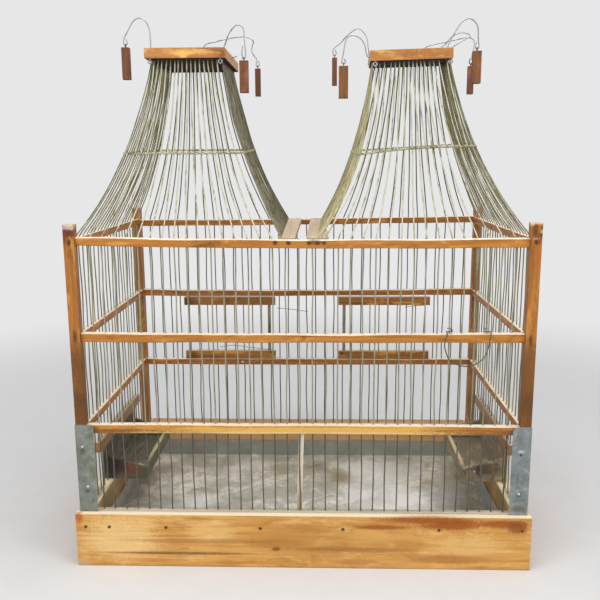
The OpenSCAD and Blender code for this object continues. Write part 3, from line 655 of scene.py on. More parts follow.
def zinc_metal(name, bright, grey, dark, stain, grain_mm, seed, metal=0.25, rough=0.5, edge_tint=None,
               wall_shade=None, patches=(), marks=(), sheen=0.0):
    """Zinc sheet; patches are painted highlights, bright spots of reflected light, and marks are spots of any other
    colour.
    """
    m, w, shader = new_material(name)
    z = w.group(ZINC, Bright=srgb(*bright), Grey=srgb(*grey), Dark=srgb(*dark), Stain=srgb(*stain),
                Grain_mm=grain_mm, Seed=seed)
    colour = z["Color"]
    clean = w.minus(1.0, w.times(z["Dull"], 0.42))
    # Painted highlights: near-white spots where the sheet would reflect the light.
    for centre, size, share in patches:
        colour = w.lay(colour, srgb(255, 254, 250), w.times(clean, spot_mask(w, centre, size)), share)
    for centre, size, tint, share in marks:
        colour = w.lay(colour, srgb(*tint), spot_mask(w, centre, size), share)
    # Painted shade in the sheet's corners, with a little dirt in patches.
    colour = w.lay(colour, srgb(70, 68, 55), w.group(SHADE_AND_DIRT, Reach_mm=6.0, Patches=0.15)["Mask"], 0.5)
    # Painted shade on the faces that do not point up, such as the tray's walls.
    if wall_shade:
        colour = w.lay(colour, srgb(*wall_shade), w.minus(1.0, w.group(FACING, Ragged=0.3)["Up"]), 0.75)
    if edge_tint:
        colour = w.lay(colour, srgb(*edge_tint), w.group(EDGES, Width_mm=1.0, Breakup=0.5)["Mask"], 0.5)
    shader.inputs["Coat Weight"].default_value = sheen
    shader.inputs["Coat Roughness"].default_value = 0.3
    metal_surface(w, shader, colour, z["Dull"], z["Height"], metal, 0.5, rough, 0.5)
    return m


def rusty_nail(name, dark, light, bright=()):
    """Nail heads; bright holds the places of heads that carry a painted highlight."""
    m, w, shader = new_material(name)
    speck = w.noise(w.place(), 1.5, 4, 0.7)
    colour = w.mix(w.ramp(speck, 0.4, 0.6), srgb(*dark), srgb(*light))
    # Painted highlights on the heads listed in bright.
    for centre in bright:
        colour = w.mix(spot_mask(w, centre, (6, 12, 6)), colour, srgb(228, 228, 220))
    w.feed(shader.inputs["Base Color"], colour)
    shader.inputs["Metallic"].default_value = 0.4
    w.feed(shader.inputs["Roughness"], w.ramp(speck, 0.3, 0.7, 0.4, 0.75))
    bump(w, shader, speck, 0.5, 0.2)
    return m


def dusty_glass():
    m, w, shader = new_material("window_glass")
    smear = w.noise(w.vec("MULTIPLY", w.place(), (0.6, 1, 1)), 0.02, 6, 0.7, 0.8)
    for name, value in (("Transmission Weight", 1.0), ("IOR", 1.01), ("Coat Weight", 1.0), ("Coat Roughness", 0.04)):
        shader.inputs[name].default_value = value
    w.feed(shader.inputs["Base Color"], w.mix(w.ramp(smear, 0.45, 0.8), srgb(248, 250, 248), srgb(214, 218, 210)))
    w.feed(shader.inputs["Roughness"], w.ramp(smear, 0.5, 0.85, 0.0, 0.1))
    w.feed(shader.inputs["Alpha"], w.ramp(smear, 0.4, 0.8, 0.12, 0.4))
    return m


def on_face(axis, level, depth, *rows):
    """Stains on one face; each row is a place and a size in that face, then a colour and a share."""
    made = []
    for a, b, wide, high, *rest in rows:
        centre, size = [a, b], [wide, high]
        centre.insert(axis, level)
        size.insert(axis, depth)
        made.append((tuple(centre), tuple(size), *rest))
    return made


NAIL_STAIN = (84, 50, 30)
HOLE = (60, 34, 22)
RED_STAIN = (160, 80, 18)
plinth_stains = on_face(1, -163, 12, (-215, 34, 80, 44, (254, 216, 148), 0.7),
                        (-108, 44, 50, 24, (248, 206, 132), 0.6),
                        (196, 28, 70, 24, (244, 200, 128), 0.6), (80, 42, 50, 12, (240, 192, 112), 0.5),
                        (20, 34, 130, 34, (190, 134, 64), 0.4))
plinth_stains += on_face(1, -163, 9, *((x, 50, 4, 4, NAIL_STAIN, 0.5)
                                       for x in (-256.7, -228.5, -160.8, -48.8, 48.7, 161, 257.5)))
plinth_stains.append(((0, -142, 68), (900, 18, 12), (150, 146, 130), 0.8))
plinth_stains += on_face(
    1, -163, 14, (150, 62, 100, 8, RED_STAIN, 0.9), (90, 53, 56, 5, RED_STAIN, 0.85),
    (176, 56, 70, 10, RED_STAIN, 0.9), (236, 58, 50, 9, RED_STAIN, 0.9), (252, 54, 22, 14, (142, 68, 30), 0.85),
    (-265, 61, 9, 12, (186, 96, 44), 0.9), (-262, 3, 14, 9, (206, 180, 132), 0.7))
plinth_stains += on_face(
    1, -163, 12, (-120, 33, 150, 5, (176, 118, 58), 0.6), (-150, 17, 150, 3, (120, 84, 44), 0.8),
    (-30, 31, 60, 12, (176, 116, 52), 0.5), (-10, 52, 70, 8, (190, 130, 62), 0.5),
    (60, 24, 120, 5, (158, 104, 50), 0.6), (170, 13, 90, 9, (170, 104, 50), 0.6),
    (64, 8, 40, 7, (176, 116, 60), 0.5), (128, 30, 30, 12, (190, 126, 60), 0.5),
    (-30, 24, 8, 5, (124, 76, 36), 0.8))


def trough_rim(s, tint):
    """The pale rubbed rim of a seed trough: along its inner board and up its slanting front end."""
    return [((s * 208.5, 7, 84.5), (5, 84, 3.5), tint, 0.95), ((s * 213, -63, 86.5), (7, 4, 3.5), tint, 0.9),
            ((s * 226, -63, 94), (9, 4, 4), tint, 0.6)]


def inner_dirt(s):
    """Olive and grey dirt on the inside and top of a plinth side board, in front of the trough."""
    return [((s * 250, -96, 44), (6, 70, 40), (116, 98, 62), 0.85),
            ((s * 252, -20, 44), (6, 90, 40), (116, 98, 62), 0.7),
            ((s * 259, -108, 66), (12, 40, 6), (146, 136, 108), 0.9),
            ((s * 250, -130, 30), (6, 16, 16), (92, 78, 46), 0.7)]


# In these presets top, under and side tint faces by which way they point, as painted light and shade: the frame's pale
# tops are a painted highlight with some dust, and dark undersides and side faces are painted shade.
PINE = dict(pale=(238, 186, 106), deep=(200, 138, 62), bright=(246, 202, 128), dark=(176, 118, 58), contrast=0.8,
            patches=0.55, worn_and_lit=(250, 226, 178), wear=0.6, wear_mm=1.6, top=(252, 238, 208), top_light_share=0.9,
            grime=0.16, shade_and_dirt_colour=(140, 88, 44), gloss=0.46, coat=0.05)
OAK = dict(pale=(206, 136, 60), deep=(150, 90, 34), bright=(232, 162, 74), dark=(98, 58, 24), contrast=0.8,
           patches=0.65, worn_and_lit=(238, 190, 122), wear=0.6, wear_mm=1.1, top=(248, 236, 216), top_light_share=0.92,
           under=(84, 48, 22), grime=0.3, shade_and_dirt_colour=(66, 36, 18), gloss=0.4, coat=0.1)
POST = dict(OAK, top_light_share=0.2, side=(110, 66, 28), side_shade_share=0.45)
CAP = dict(pale=(216, 152, 90), deep=(178, 110, 58), bright=(250, 202, 116), dark=(130, 70, 40), contrast=0.9,
           patches=0.8, worn_and_lit=(244, 206, 146), wear=0.5, top=(182, 134, 92), top_light_share=0.7, under=(44, 27, 16),
           under_shade_share=1.0, side=(186, 138, 66), side_shade_share=0.4, grime=0.35, shade_and_dirt_colour=(84, 46, 24), gloss=0.42,
           coat=0.15)
BLOCK = dict(dark=(74, 44, 30), contrast=0.7, patches=0.7, worn_and_lit=(186, 132, 92), wear=0.45, wear_mm=0.8,
             under=(54, 26, 18), grime=0.3, gloss=0.5, coat=0.05)
TROUGH = dict(contrast=0.9, patches=0.9, wear=0.8, wear_mm=1.6, gloss=0.6, coat=0.0)
MAT = {
    "plinth_front": wood("plinth_front_pine", "x", seed=1.0, marks_and_painted_light=plinth_stains, **PINE),
    "plinth_left": wood("plinth_left_pine", "y", seed=2.0, marks_and_painted_light=inner_dirt(-1), **PINE),
    "plinth_right": wood("plinth_right_pine", "y", seed=3.0, marks_and_painted_light=inner_dirt(1), **PINE),
    "plinth_back": wood("plinth_back_pine", "x", (224, 180, 126), (188, 138, 92), seed=4.0, contrast=0.8,
                        worn_and_lit=(240, 206, 164), grime=0.3, gloss=0.5, marks_and_painted_light=on_face(
                            1, 145, 12, (-200, 56, 46, 16, (232, 202, 140), 0.8),
                            (-110, 56, 50, 16, (196, 136, 92), 0.6), (170, 56, 80, 16, (226, 182, 122), 0.5))),
    "plinth_bottom": wood("plinth_bottom_pine", "x", (190, 150, 105), (150, 110, 70), seed=5.0, grime=0.5, gloss=0.6),
    "rail_front": wood("front_rail_wood", "x", seed=6.0, marks_and_painted_light=on_face(
        1, -152, 9, *((x, 386.5, 4.5, 4, NAIL_STAIN, 0.85) for x in (-28, -12.8, 9.6, 19.6, 26.2)),
        (16, 388, 13, 5, (96, 56, 30), 0.7), (-150, 277, 30, 3, (214, 150, 66), 0.6)) + on_face(
        # The pale strip at the foot of the lower rail, behind the glass, is a painted reflection of the glass.
        1, -150, 16, (0, 168, 300, 9, (240, 190, 92), 0.9), (0, 164, 300, 3, (236, 206, 140), 0.8)),
                       **dict(OAK, pale=(222, 152, 68), deep=(168, 104, 40), bright=(244, 176, 84))),
    # The back rails are a darker copy of the front rails as painted shade, with their tops and rubbed edges lightened
    # fully as a painted highlight.
    "rail_back": wood("back_rail_wood", "x", seed=6.5, marks_and_painted_light=on_face(
        1, 144, 8, (-100.6, 167.2, 3, 2.6, (236, 224, 204), 0.9), (36, 386, 2.4, 2.4, NAIL_STAIN, 0.8)),
                      **dict(OAK, pale=(188, 122, 54), deep=(130, 80, 34), top_light_share=1.0, worn_and_lit=(248, 232, 204),
                             wear=0.85)),
    "rail_y": wood("side_rail_wood", "y", seed=7.0, marks_and_painted_light=[
        ((s * 252, -10, 125), (18, 230, 24), (146, 116, 84), 0.85) for s in (-1, 1)], **OAK),
    # The door bars are a darker copy of the rails as painted shade, and the dark patches at the left ends of the left
    # door's bars are painted shadows.
    "door_bar": wood("door_bar_wood", "x", seed=7.5, marks_and_painted_light=on_face(
        1, 143, 8, (55.2, 180.8, 3.2, 3.2, (40, 26, 18), 0.95), (-184, 262, 24, 14, (84, 54, 28), 0.8),
        (-178, 176, 12, 12, (84, 54, 28), 0.7)),
                     **dict(OAK, pale=(178, 124, 62), deep=(124, 82, 38), top=(214, 182, 138))),
    "post_left": wood("left_post_wood", "z", seed=8.0, marks_and_painted_light=on_face(
        1, -155, 8, (-257.5, 280, 4, 14, NAIL_STAIN, 0.7), (-257.5, 388, 3.5, 7, HOLE, 0.9)) + on_face(
        1, -156, 24, (-261, 399.5, 20, 11, (104, 46, 26), 0.95), (-264, 392, 8, 14, (122, 66, 32), 0.8)) + on_face(
        1, -157, 30, (-257.5, 230, 34, 70, (110, 70, 32), 0.85), (-257.5, 190, 34, 40, (96, 62, 28), 0.8)) + on_face(
        # The two pale patches on the post's top are a painted highlight of the light from above.
        1, -156, 16, (-261.5, 405.5, 10, 6, (200, 176, 176), 0.95), (-254.5, 405.5, 9, 6, (206, 198, 164), 0.95),
        (-266, 396, 4, 6, (184, 156, 128), 0.8)), **POST),
    "post_right": wood("right_post_wood", "z", seed=9.0, marks_and_painted_light=on_face(
        1, -155, 8, (257.5, 276, 3.5, 12, NAIL_STAIN, 0.8), (257.5, 388, 3.5, 6, HOLE, 0.9),
        (255.5, 366, 3, 18, (196, 96, 40), 0.6)) + on_face(
        1, -157, 30, (257.5, 230, 34, 70, (116, 72, 30), 0.85), (257.5, 190, 34, 40, (102, 64, 28), 0.8)) + on_face(
        1, -156, 16, (256, 400, 5, 16, (112, 58, 24), 0.85), (261, 392, 5, 12, (122, 66, 30), 0.7),
        (251.5, 408, 7, 6, (222, 208, 140), 0.95), (260, 409.5, 11, 4, (206, 172, 160), 0.9),
        (265.5, 398.6, 6, 4, (206, 194, 130), 0.95), (265.5, 403, 6, 4, (66, 40, 24), 0.9),
        (265.5, 395, 6, 4, (60, 46, 26), 0.9), (256.5, 391, 7, 1.8, (176, 156, 134), 0.9)), **POST),
    # The back posts are a darker copy of the front posts as painted shade.
    "post_back": wood("back_post_wood", "z", seed=10.0, **dict(POST, pale=(186, 126, 64), deep=(136, 86, 40))),
    # The pale spot on each cap's front face is a painted highlight.
    "cap_left": wood("left_cap_wood", "x", seed=11.0, marks_and_painted_light=[
        ((-138, -74, 601), (28, 9, 6), (252, 204, 112), 0.8)], **CAP),
    "cap_right": wood("right_cap_wood", "x", seed=21.0, marks_and_painted_light=[
        ((92, -76, 597), (9, 9, 8), (250, 200, 110), 0.6)], **CAP),
    "pale": wood("bare_plank", "y", (206, 186, 160), (172, 150, 126), seed=12.0, contrast=0.7, dark=(140, 116, 92),
                 patches=0.45, worn_and_lit=(246, 234, 218), grime=0.2, shade_and_dirt_colour=(130, 104, 84), gloss=0.6, coat=0.0),
    "slat": wood("bare_slat", "z", (255, 252, 240), (244, 232, 208), seed=13.0, contrast=0.6, patches=0.2,
                 worn_and_lit=(252, 248, 238), grime=0.1, shade_and_dirt_colour=(150, 125, 95), gloss=0.6, coat=0.0,
                 marks_and_painted_light=[((0, -150, 72), (20, 30, 34), (178, 146, 108), 0.75)]),
    "block": wood("hanging_block_wood", "z", (140, 92, 64), (98, 60, 42), seed=14.0, bright=(168, 108, 68), **BLOCK),
    "block_pale": wood("pale_block_wood", "z", (148, 100, 62), (108, 68, 42), seed=17.0, bright=(176, 120, 72),
                       **BLOCK),
    "trough_left": wood(
        "left_trough_wood", "y", (122, 114, 96), (82, 74, 60), dark=(60, 44, 38), seed=15.0, worn_and_lit=(190, 188, 140),
        grime=0.7, shade_and_dirt_colour=(52, 40, 34), marks_and_painted_light=trough_rim(-1, (186, 186, 134)) + [
            ((-264, 7, 92), (8, 130, 60), (138, 102, 62), 0.7)] + on_face(
            1, -66, 8, (-212, 76, 18, 14, (96, 90, 58), 0.8), (-226, 82, 16, 16, (128, 72, 42), 0.9),
            (-238, 86, 13, 22, (70, 36, 28), 0.95), (-252, 90, 20, 40, (34, 26, 24), 0.95)), **TROUGH),
    "trough_right": wood(
        "right_trough_wood", "y", (158, 148, 122), (116, 104, 80), bright=(196, 164, 132), dark=(84, 66, 48), seed=16.0,
        worn_and_lit=(206, 196, 148), grime=0.6, shade_and_dirt_colour=(60, 52, 36), marks_and_painted_light=trough_rim(1, (226, 206, 152)) + [
            ((264, 7, 92), (8, 130, 60), (146, 110, 68), 0.7)] + on_face(
            1, -66, 5, (236, 84, 30, 14, (74, 60, 38), 0.85), (243, 84, 8, 8, (132, 98, 44), 0.8),
            (226, 84, 6, 8, (52, 34, 32), 0.7)) + [((209, 0, 90), (5, 90, 16), (220, 202, 152), 0.85)] + on_face(
            1, -66, 5, (214, 80, 3, 3, (206, 200, 170), 0.9), (221, 80, 2.4, 3, (210, 204, 176), 0.9)), **TROUGH),
    # The front and back wires darken below the top rail as its painted shadow, and the front and side wires darken
    # below the lower rail, behind the glass, as painted shade.
    "wire_front": wire_metal("front_row_wire", (190, 187, 164), (152, 146, 88), (88, 84, 64), (110, 76, 46), 0.5,
                             lower=[(396, 388, (78, 74, 54), 0.35), (174, 168, (58, 58, 50), 0.75)]),
    "wire_side": wire_metal("side_row_wire", (150, 146, 118), (112, 106, 62), (56, 52, 40), (98, 66, 40), 0.6,
                            lower=[(174, 168, (66, 64, 54), 0.5)]),
    # The inner rows are shaded and lit copies of one wire: the left spire's inner row is darker as painted shade, the
    # right spire's, which faces the light, paler as painted light.
    "wire_inner_left": wire_metal("left_inner_row_wire", (124, 118, 96), (98, 90, 56), (46, 44, 36), (80, 56, 38), 0.6),
    "wire_inner_right": wire_metal("right_inner_row_wire", (186, 178, 140), (150, 140, 78), (84, 78, 54),
                                   (104, 76, 46), 0.55),
    # The back and door wires are darker copies of the front wire: painted shade at the back of the cage.
    "wire_back": wire_metal("back_row_wire", (116, 112, 96), (90, 86, 60), (50, 48, 40), (84, 58, 40), 0.6,
                            lower=[(396, 388, (52, 50, 44), 0.4)]),
    "door_wire": wire_metal("door_wire", (138, 134, 116), (104, 100, 70), (56, 54, 46), (84, 58, 40), 0.5),
    "tie": wire_metal("tie_wire", (182, 176, 142), (124, 116, 66), (52, 47, 34), (100, 70, 44), 0.5, rough=0.38),
    "hook": wire_metal("hook_wire", (172, 172, 174), (116, 114, 112), (60, 58, 56), (92, 76, 62), 0.45, metal=0.5),
    "bow": wire_metal("bow_wire", (104, 96, 66), (78, 70, 40), (48, 42, 28), (90, 64, 40), 0.6),
    "tray": zinc_metal(
        "tray_zinc", (255, 252, 240), (186, 182, 166), (120, 117, 102), (150, 138, 84), 30.0, 1.0, metal=0.35,
        # The tray's patches are painted highlights of reflected light.
        rough=0.34, sheen=0.9, wall_shade=(122, 124, 116), patches=on_face(
            2, 13, 8, (104, 10, 74, 110, 1.0), (112, 84, 84, 54, 0.9), (76, 92, 26, 30, 0.9), (142, -10, 44, 70, 0.8),
            (-145, -24, 34, 44, 1.0), (-84, 97, 34, 30, 0.9), (-117, 82, 20, 30, 0.7), (-60, 40, 26, 30, 0.6)),
        marks=on_face(
            2, 13, 8, (50, 60, 20, 34, (146, 130, 80), 0.8), (196, -20, 40, 110, (156, 156, 152), 0.7),
            (-196, -60, 44, 60, (150, 147, 136), 0.7), (-40, 90, 18, 40, (160, 150, 96), 0.5),
            (30, -60, 30, 40, (168, 160, 128), 0.5))),
    "plate_left": zinc_metal(
        "left_plate_zinc", (150, 154, 146), (126, 130, 120), (92, 98, 88), (104, 112, 76), 9.0, 2.0,
        edge_tint=(176, 176, 156), marks=on_face(
            1, -156, 12, (-238.5, 106, 1.6, 9, (222, 222, 204), 0.9), (-257, 143, 5, 4, (64, 68, 58), 0.7),
            (-254, 92, 5, 4, (70, 72, 60), 0.7), (-246, 116, 8, 16, (104, 116, 84), 0.6),
            (-262, 128, 6, 22, (108, 116, 96), 0.5), (-244, 162, 12, 6, (94, 98, 84), 0.5))),
    "plate_right": zinc_metal(
        "right_plate_zinc", (158, 164, 168), (130, 136, 138), (98, 104, 106), (110, 116, 92), 9.0, 3.0, rough=0.48,
        edge_tint=(190, 194, 190), marks=on_face(
            1, -156, 12, (253.5, 145, 6, 3, (216, 222, 226), 0.6), (253.5, 90, 5, 3, (84, 86, 84), 0.7),
            (254, 74, 16, 6, (92, 92, 68), 0.7), (250, 160, 7, 10, (104, 108, 88), 0.6),
            (251, 108, 2.2, 14, (92, 104, 78), 0.6))),
    "nail": rusty_nail("rusty_nail", (62, 52, 46), (112, 82, 58)),
    "plate_nail": rusty_nail("plate_nail", (58, 52, 46), (108, 88, 66), [
        (-257, -160, 148), (-253.5, -160, 98), (253.5, -160, 93)]),
    "glass": dusty_glass(),
}

# The nodes that wear each material, * for left and right; every other node is a back wire
WORN_BY = {
    "plinth_front": "base_front_board", "plinth_left": "base_left_board", "plinth_right": "base_right_board",
    "plinth_back": "base_back_rail tray_front", "plinth_bottom": "bottom_board", "post_left": "front_left_post",
    "post_right": "front_right_post", "post_back": "back_*_post",
    "rail_front": "front_top_rail front_middle_rail front_lower_rail", "rail_back": "back_rails",
    "rail_y": "*_side_rails", "pale": "bridge_planks", "slat": "divider_slat", "cap_left": "left_spire_cap",
    "cap_right": "right_spire_cap", "door_bar": "*_door_bars", "trough_left": "left_trough",
    "trough_right": "right_trough", "plate_left": "left_corner_plate", "plate_right": "right_corner_plate",
    "tray": "zinc_tray", "nail": "plinth_nails", "plate_nail": "frame_nails", "glass": "glass_pane",
    "hook": "*_cap_hooks", "bow": "wire_bail", "tie": "*_tie_ring", "door_wire": "*_door_wires",
    "block": "block_left_a block_left_b block_left_c block_right_b block_right_d",
    "block_pale": "block_right_a block_right_c"}
FINISH = {node.replace("*", side): key for key, nodes in WORN_BY.items() for node in nodes.split() for side in SIDES}
# How far the edges of each kind of wood are eased, mm
EASE = {"plinth": 1.2, "rail": 0.7, "post": 0.9, "cap": 1.0, "pale": 0.6, "slat": 0.5, "block": 0.7, "trough": 0.8}
EASE_ABOVE = math.radians(40)      # the least angle between two faces whose edge is eased


def dress_nodes():
    """Gives each CAD node that stays in view its material and, on wood, eased edges."""
    for name, obj in NODE.items():
        key = FINISH.get(name, "wire_back")
        obj.data.materials.clear()
        obj.data.materials.append(MAT[key])
        width = EASE.get(key.split("_")[0])
        if width:
            weld = obj.modifiers.new("weld", "WELD")
            weld.merge_threshold = 1e-6
            bevel = obj.modifiers.new("eased_edges", "BEVEL")
            bevel.width = width * MM
            bevel.segments = 2
            bevel.limit_method = "ANGLE"
            bevel.angle_limit = EASE_ABOVE


dress_nodes()

# ---- rails

RAIL_CUTS = 84             # slices along a hand-cut rail


def smooth_step(a, b, t):
    return a + (b - a) * t * t * (3 - 2 * t)


def hand_cut_rail(mesh, box, level, off, seed):
    """One rail with an uneven top and underside and rubbed edges."""
    (x0, y0, _), (x1, y1, _) = [[v / MM for v in corner] for corner in box]
    waves = [wander(seed + q / 7, a) for q, a in enumerate((0.22, 0.22, 0.16, 0.2))]
    rings = []
    for i in range(RAIL_CUTS + 1):
        x = even(i, RAIL_CUTS, x0, x1)
        share = 4 * i / RAIL_CUTS
        k = min(int(share), 3)
        top_off, low_off = (smooth_step(o[k], o[k + 1], share - k) for o in off)
        zt = RAIL_Z[level] + top_off + waves[0](x)
        zb = RAIL_Z[level] - RAIL_H + low_off + waves[1](x)
        yf, rub = y0 + waves[2](x), 0.9 + waves[3](x)
        rings.append([Vector((x, y, z)) for y, z in (
            (yf, zb + 0.6), (yf, zt - rub), (yf + rub, zt), (y1 - 0.8, zt), (y1, zt - 0.8), (y1, zb + 0.6),
            (y1 - 0.6, zb), (yf + 0.6, zb))])
    loft(mesh, rings)


def cross_rails():
    for level, node in ((2, "front_top_rail"), (1, "front_middle_rail"), (0, "front_lower_rail")):
        mesh = [], []
        hand_cut_rail(mesh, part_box(node), level, RAIL_OFF["front", level], 40 + level)
        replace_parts(piece_from(node + "_hand_cut", mesh, MAT["rail_front"], "cage", False), node)
    mesh = [], []
    for level in (2, 1, 0):
        hand_cut_rail(mesh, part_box("back_rails"), level, RAIL_OFF["back", level], 50 + level)
    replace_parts(piece_from("back_rails_hand_cut", mesh, MAT["rail_back"], "cage", False), "back_rails")


cross_rails()

# ---- wires, each one length

SPIRE_STEPS = 32
FOOT_GAP = 1.2             # how far below the top rail's upper side a wire begins to lean into its spire


def straight_points(x, y, z0, z1, seed):
    """A cage wire between two heights: it is held at the rails and wanders a little between them."""
    bend_x, bend_y = wander(seed, 0.6), wander(seed + 0.5, 0.4)
    steps = max(4, int((z1 - z0) / 9))
    low = RAIL_Z[0] - SEAT_Z - 10
    pts = []
    for i in range(steps + 1):
        z = even(i, steps, z0, z1)
        above = z - RAIL_Z[0]
        free = abs(math.sin(math.pi * (above / (RAIL_Z[1] - RAIL_Z[0]) if above > 0 else max(0, above + low) / low)))
        pts.append(Vector((x + bend_x(z) * free, y + bend_y(z) * free, z)))
    return pts


def wire_seed(side, row, i):
    if row in ("front", "back"):
        return row_place(side, i) * 17 + (1000 if row == "back" else 0)
    return i * 23 + {"leftouter": 3000, "rightouter": 5000, "leftinner": 7000, "rightinner": 9000}[side + row]


def spire_points(side, row, i):
    """A spire wire from just above its foot to its head, pinched a little at the tie ring."""
    seed = wire_seed(side, row, i)
    foot, head = spire_ends(side, row, i)
    arc, meet = spire_arc(foot, head), ring_share(side, foot, head)
    bend_x, bend_y = wander(seed, 0.55), wander(seed + 0.5, 0.5)
    at_ring, at_head, rise = random.Random(seed + 0.25).uniform(-0.5, 0.5), 0.0, 1.35
    if row == "front":
        at_ring, at_head = RING_OFF[side][i], HEAD_OFF[side][i]
    if side == "right" and row == "inner":
        at_ring, rise = CORNER_PULL * (1 - i / SIDE_N), 0.4
    pts = []
    for j in range(1, SPIRE_STEPS + 1):
        t = j / SPIRE_STEPS
        p = arc(t)
        s = t / meet if t < meet else (t - meet) / (1 - meet)
        shift = at_ring * math.sin(s * math.pi / 2) ** rise if t < meet else at_ring + (at_head - at_ring) * s ** 1.15
        free = math.sin(math.pi * s)
        pts.append(p + Vector((shift + bend_x(p.z) * free, bend_y(p.z) * free, 0)))
    return pts


def ring_meet(side, row, i):
    """Where a wire that is drawn meets the tie ring."""
    z = ring_height(side, *spire_ends(side, row, i))
    pts = spire_points(side, row, i)
    for a, b in zip(pts, pts[1:]):
        if a.z <= z <= b.z:
            return a.lerp(b, (z - a.z) / (b.z - a.z))
    return pts[len(pts) // 2]


def cage_wires():
    for face, y in (("front", -WIRE_Y), ("back", WIRE_Y)):
        back = face == "back"
        mesh = [], []
        for k in range(1, FRONT_N):
            seed = k * 17 + (1000 if back else 0)
            x, low = (back_x if back else front_x)(k), SEAT_Z
            side = "left" if k <= BAY_N else "right" if k >= FRONT_N - BAY_N else None
            top = spire_points(side, face, k - row_place(side, 0)) if side else []
            if back and in_door(k):
                tube_faces(mesh, straight_points(x, y, SEAT_Z, RAIL_Z[0], seed), WIRE_R)
                low = RAIL_Z[1] - 8
            tube_faces(mesh, straight_points(x, y, low, RAIL_Z[2] - (FOOT_GAP if side else 0), seed) + top, WIRE_R)
        obj = piece_from(face + "_wires_in_one_length", mesh, MAT["wire_" + face])
        nodes = [face + "_wires", "left_spire_" + face + "_wires", "right_spire_" + face + "_wires"]
        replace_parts(obj, *nodes, *(["wires_above_doors", "wires_below_doors"] if back else []))
    for side in SIDES:
        outer, inner = ([], []), ([], [])
        for k in range(SIDE_N + 1):
            low = TROUGH_BAR_Z - 10 if TROUGH_SPAN[0] <= k <= TROUGH_SPAN[1] else SEAT_Z
            seed = wire_seed(side, "outer", k)
            line = straight_points(sign(side) * WIRE_X, side_y(k), low, RAIL_Z[2] - FOOT_GAP, seed)
            tube_faces(outer, line + spire_points(side, "outer", k), WIRE_R)
            foot, _ = spire_ends(side, "inner", k)
            line = [foot - Vector((0, 0, PLANK_T - 1)), foot - Vector((0, 0, 1))]
            tube_faces(inner, line + spire_points(side, "inner", k), WIRE_R)
        obj = piece_from(side + "_side_wires_in_one_length", outer, MAT["wire_side"])
        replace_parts(obj, side + "_side_wires", side + "_spire_outer_wires")
        obj = piece_from(side + "_inner_wires_from_plank", inner, MAT["wire_inner_" + side])
        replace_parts(obj, side + "_spire_inner_wires")


cage_wires()

# ---- tie rings

TIE_STEPS = 8              # points from one wire to the next
TIE_R = 0.68
TIE_OUT, TIE_UP = 1.5, 0.9     # how far a strand swings round the wires


def tie_rings():
    """Two thin strands twisted round each other and round every wire of a spire."""
    for side in SIDES:
        right_row, left_row = ("inner", "outer") if side == "left" else ("outer", "inner")
        bay, depth = range(BAY_N), range(SIDE_N + 1)
        round_trip = ("front", bay), (right_row, depth), ("back", bay[::-1]), (left_row, depth[::-1])
        meets = [ring_meet(side, row, i) for row, places in round_trip for i in places]
        n = len(meets)
        ways = [(meets[(i + 1) % n] - meets[i - 1]).normalized() for i in range(n)]
        outs = [Vector((t.y, -t.x, 0)) for t in ways]
        mesh = [], []
        for phase in (0, math.pi):
            line = []
            for q in range(n * TIE_STEPS):
                i, f = q // TIE_STEPS, q % TIE_STEPS / TIE_STEPS
                j = (i + 1) % n
                a = math.pi / 2 + phase + math.pi * (i + f)
                line.append(meets[i].lerp(meets[j], f) + outs[i].lerp(outs[j], f) * TIE_OUT * math.sin(a)
                            + Vector((0, 0, TIE_UP * math.cos(a))))
            tube_faces(mesh, line, TIE_R, 6, closed=True)
        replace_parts(piece_from(side + "_twisted_tie_ring", mesh, MAT["tie"]), side + "_tie_ring")


tie_rings()

# ---- hooks

HOOK_R = 0.8
FOOT_R, FOOT_DROP = 2.1, 3.3       # a hook's small ring under its cap, and how far its middle hangs below
# Each hook: the points its wire is bent through from the cap, then the lowest point of the loop
# that the block hangs in, that loop's height and the side the wire comes down on
HOOKS = {
    "left": (
        (((-177, -66, 603), (-176.6, -67, 616), (-177.6, -67, 628), (-181.5, -68, 636.5), (-189.5, -68, 640),
          (-196.5, -68, 635.5), (-202, -68, 627)), (-206, -68, 610), 8, -1),
        (((-93.5, -66, 603), (-89.5, -67, 609), (-84.6, -68, 621), (-79, -68, 628), (-73.7, -68, 631.3),
          (-67.5, -68, 627)), (-67.4, -68, 594), 18, 1),
        (((-146, 60, 603), (-134, 62, 628), (-118, 63, 633.5), (-101.7, 64, 637.4), (-88, 65, 639.5),
          (-77, 66, 639.5), (-68.4, 66, 634.5), (-70, 66, 627), (-70.5, 66, 620)), (-62.8, 66, 601.5), 9, -1)),
    "right": (
        (((81, -66, 594.4), (77, -66.5, 594.8), (75, -67, 600), (74, -68, 606), (69.4, -68, 613.8),
          (60, -68, 618.3), (52.1, -68, 614)), (49, -68, 586.8), 7, -1),
        (((85.5, 60, 601), (86.4, 62, 613), (85.4, 63, 624), (82.4, 64, 639), (71.8, 65, 648.6),
          (58.7, 66, 641), (49, 66, 631)), (40.7, 66, 614.6), 9, -1),
        (((167.8, -66, 600), (171.5, -67, 610), (176.5, -68, 619), (184.8, -68, 631.5), (194.1, -68, 635.1),
          (202.5, -68, 627)), (203, -68, 602.1), 9, 1),
        (((172, 60, 603), (184, 60, 613), (199.5, 60, 625), (213, 60.5, 632.5), (220, 61.5, 637.5),
          (211, 62.5, 641.5), (202.6, 63, 640), (194, 63.5, 635), (187, 64, 627), (174, 65, 619),
          (162, 66.5, 619), (163, 67.5, 624.5), (176, 68, 628.5), (191.5, 68, 631.3), (207, 68, 634.5),
          (220, 68, 636), (226.6, 67, 630)), (222.8, 66, 602), 9, 1))}
HOOK_FEET = {"left": ((-178, -68), (-95, -68)), "right": ((86, -68), (172.5, -71))}


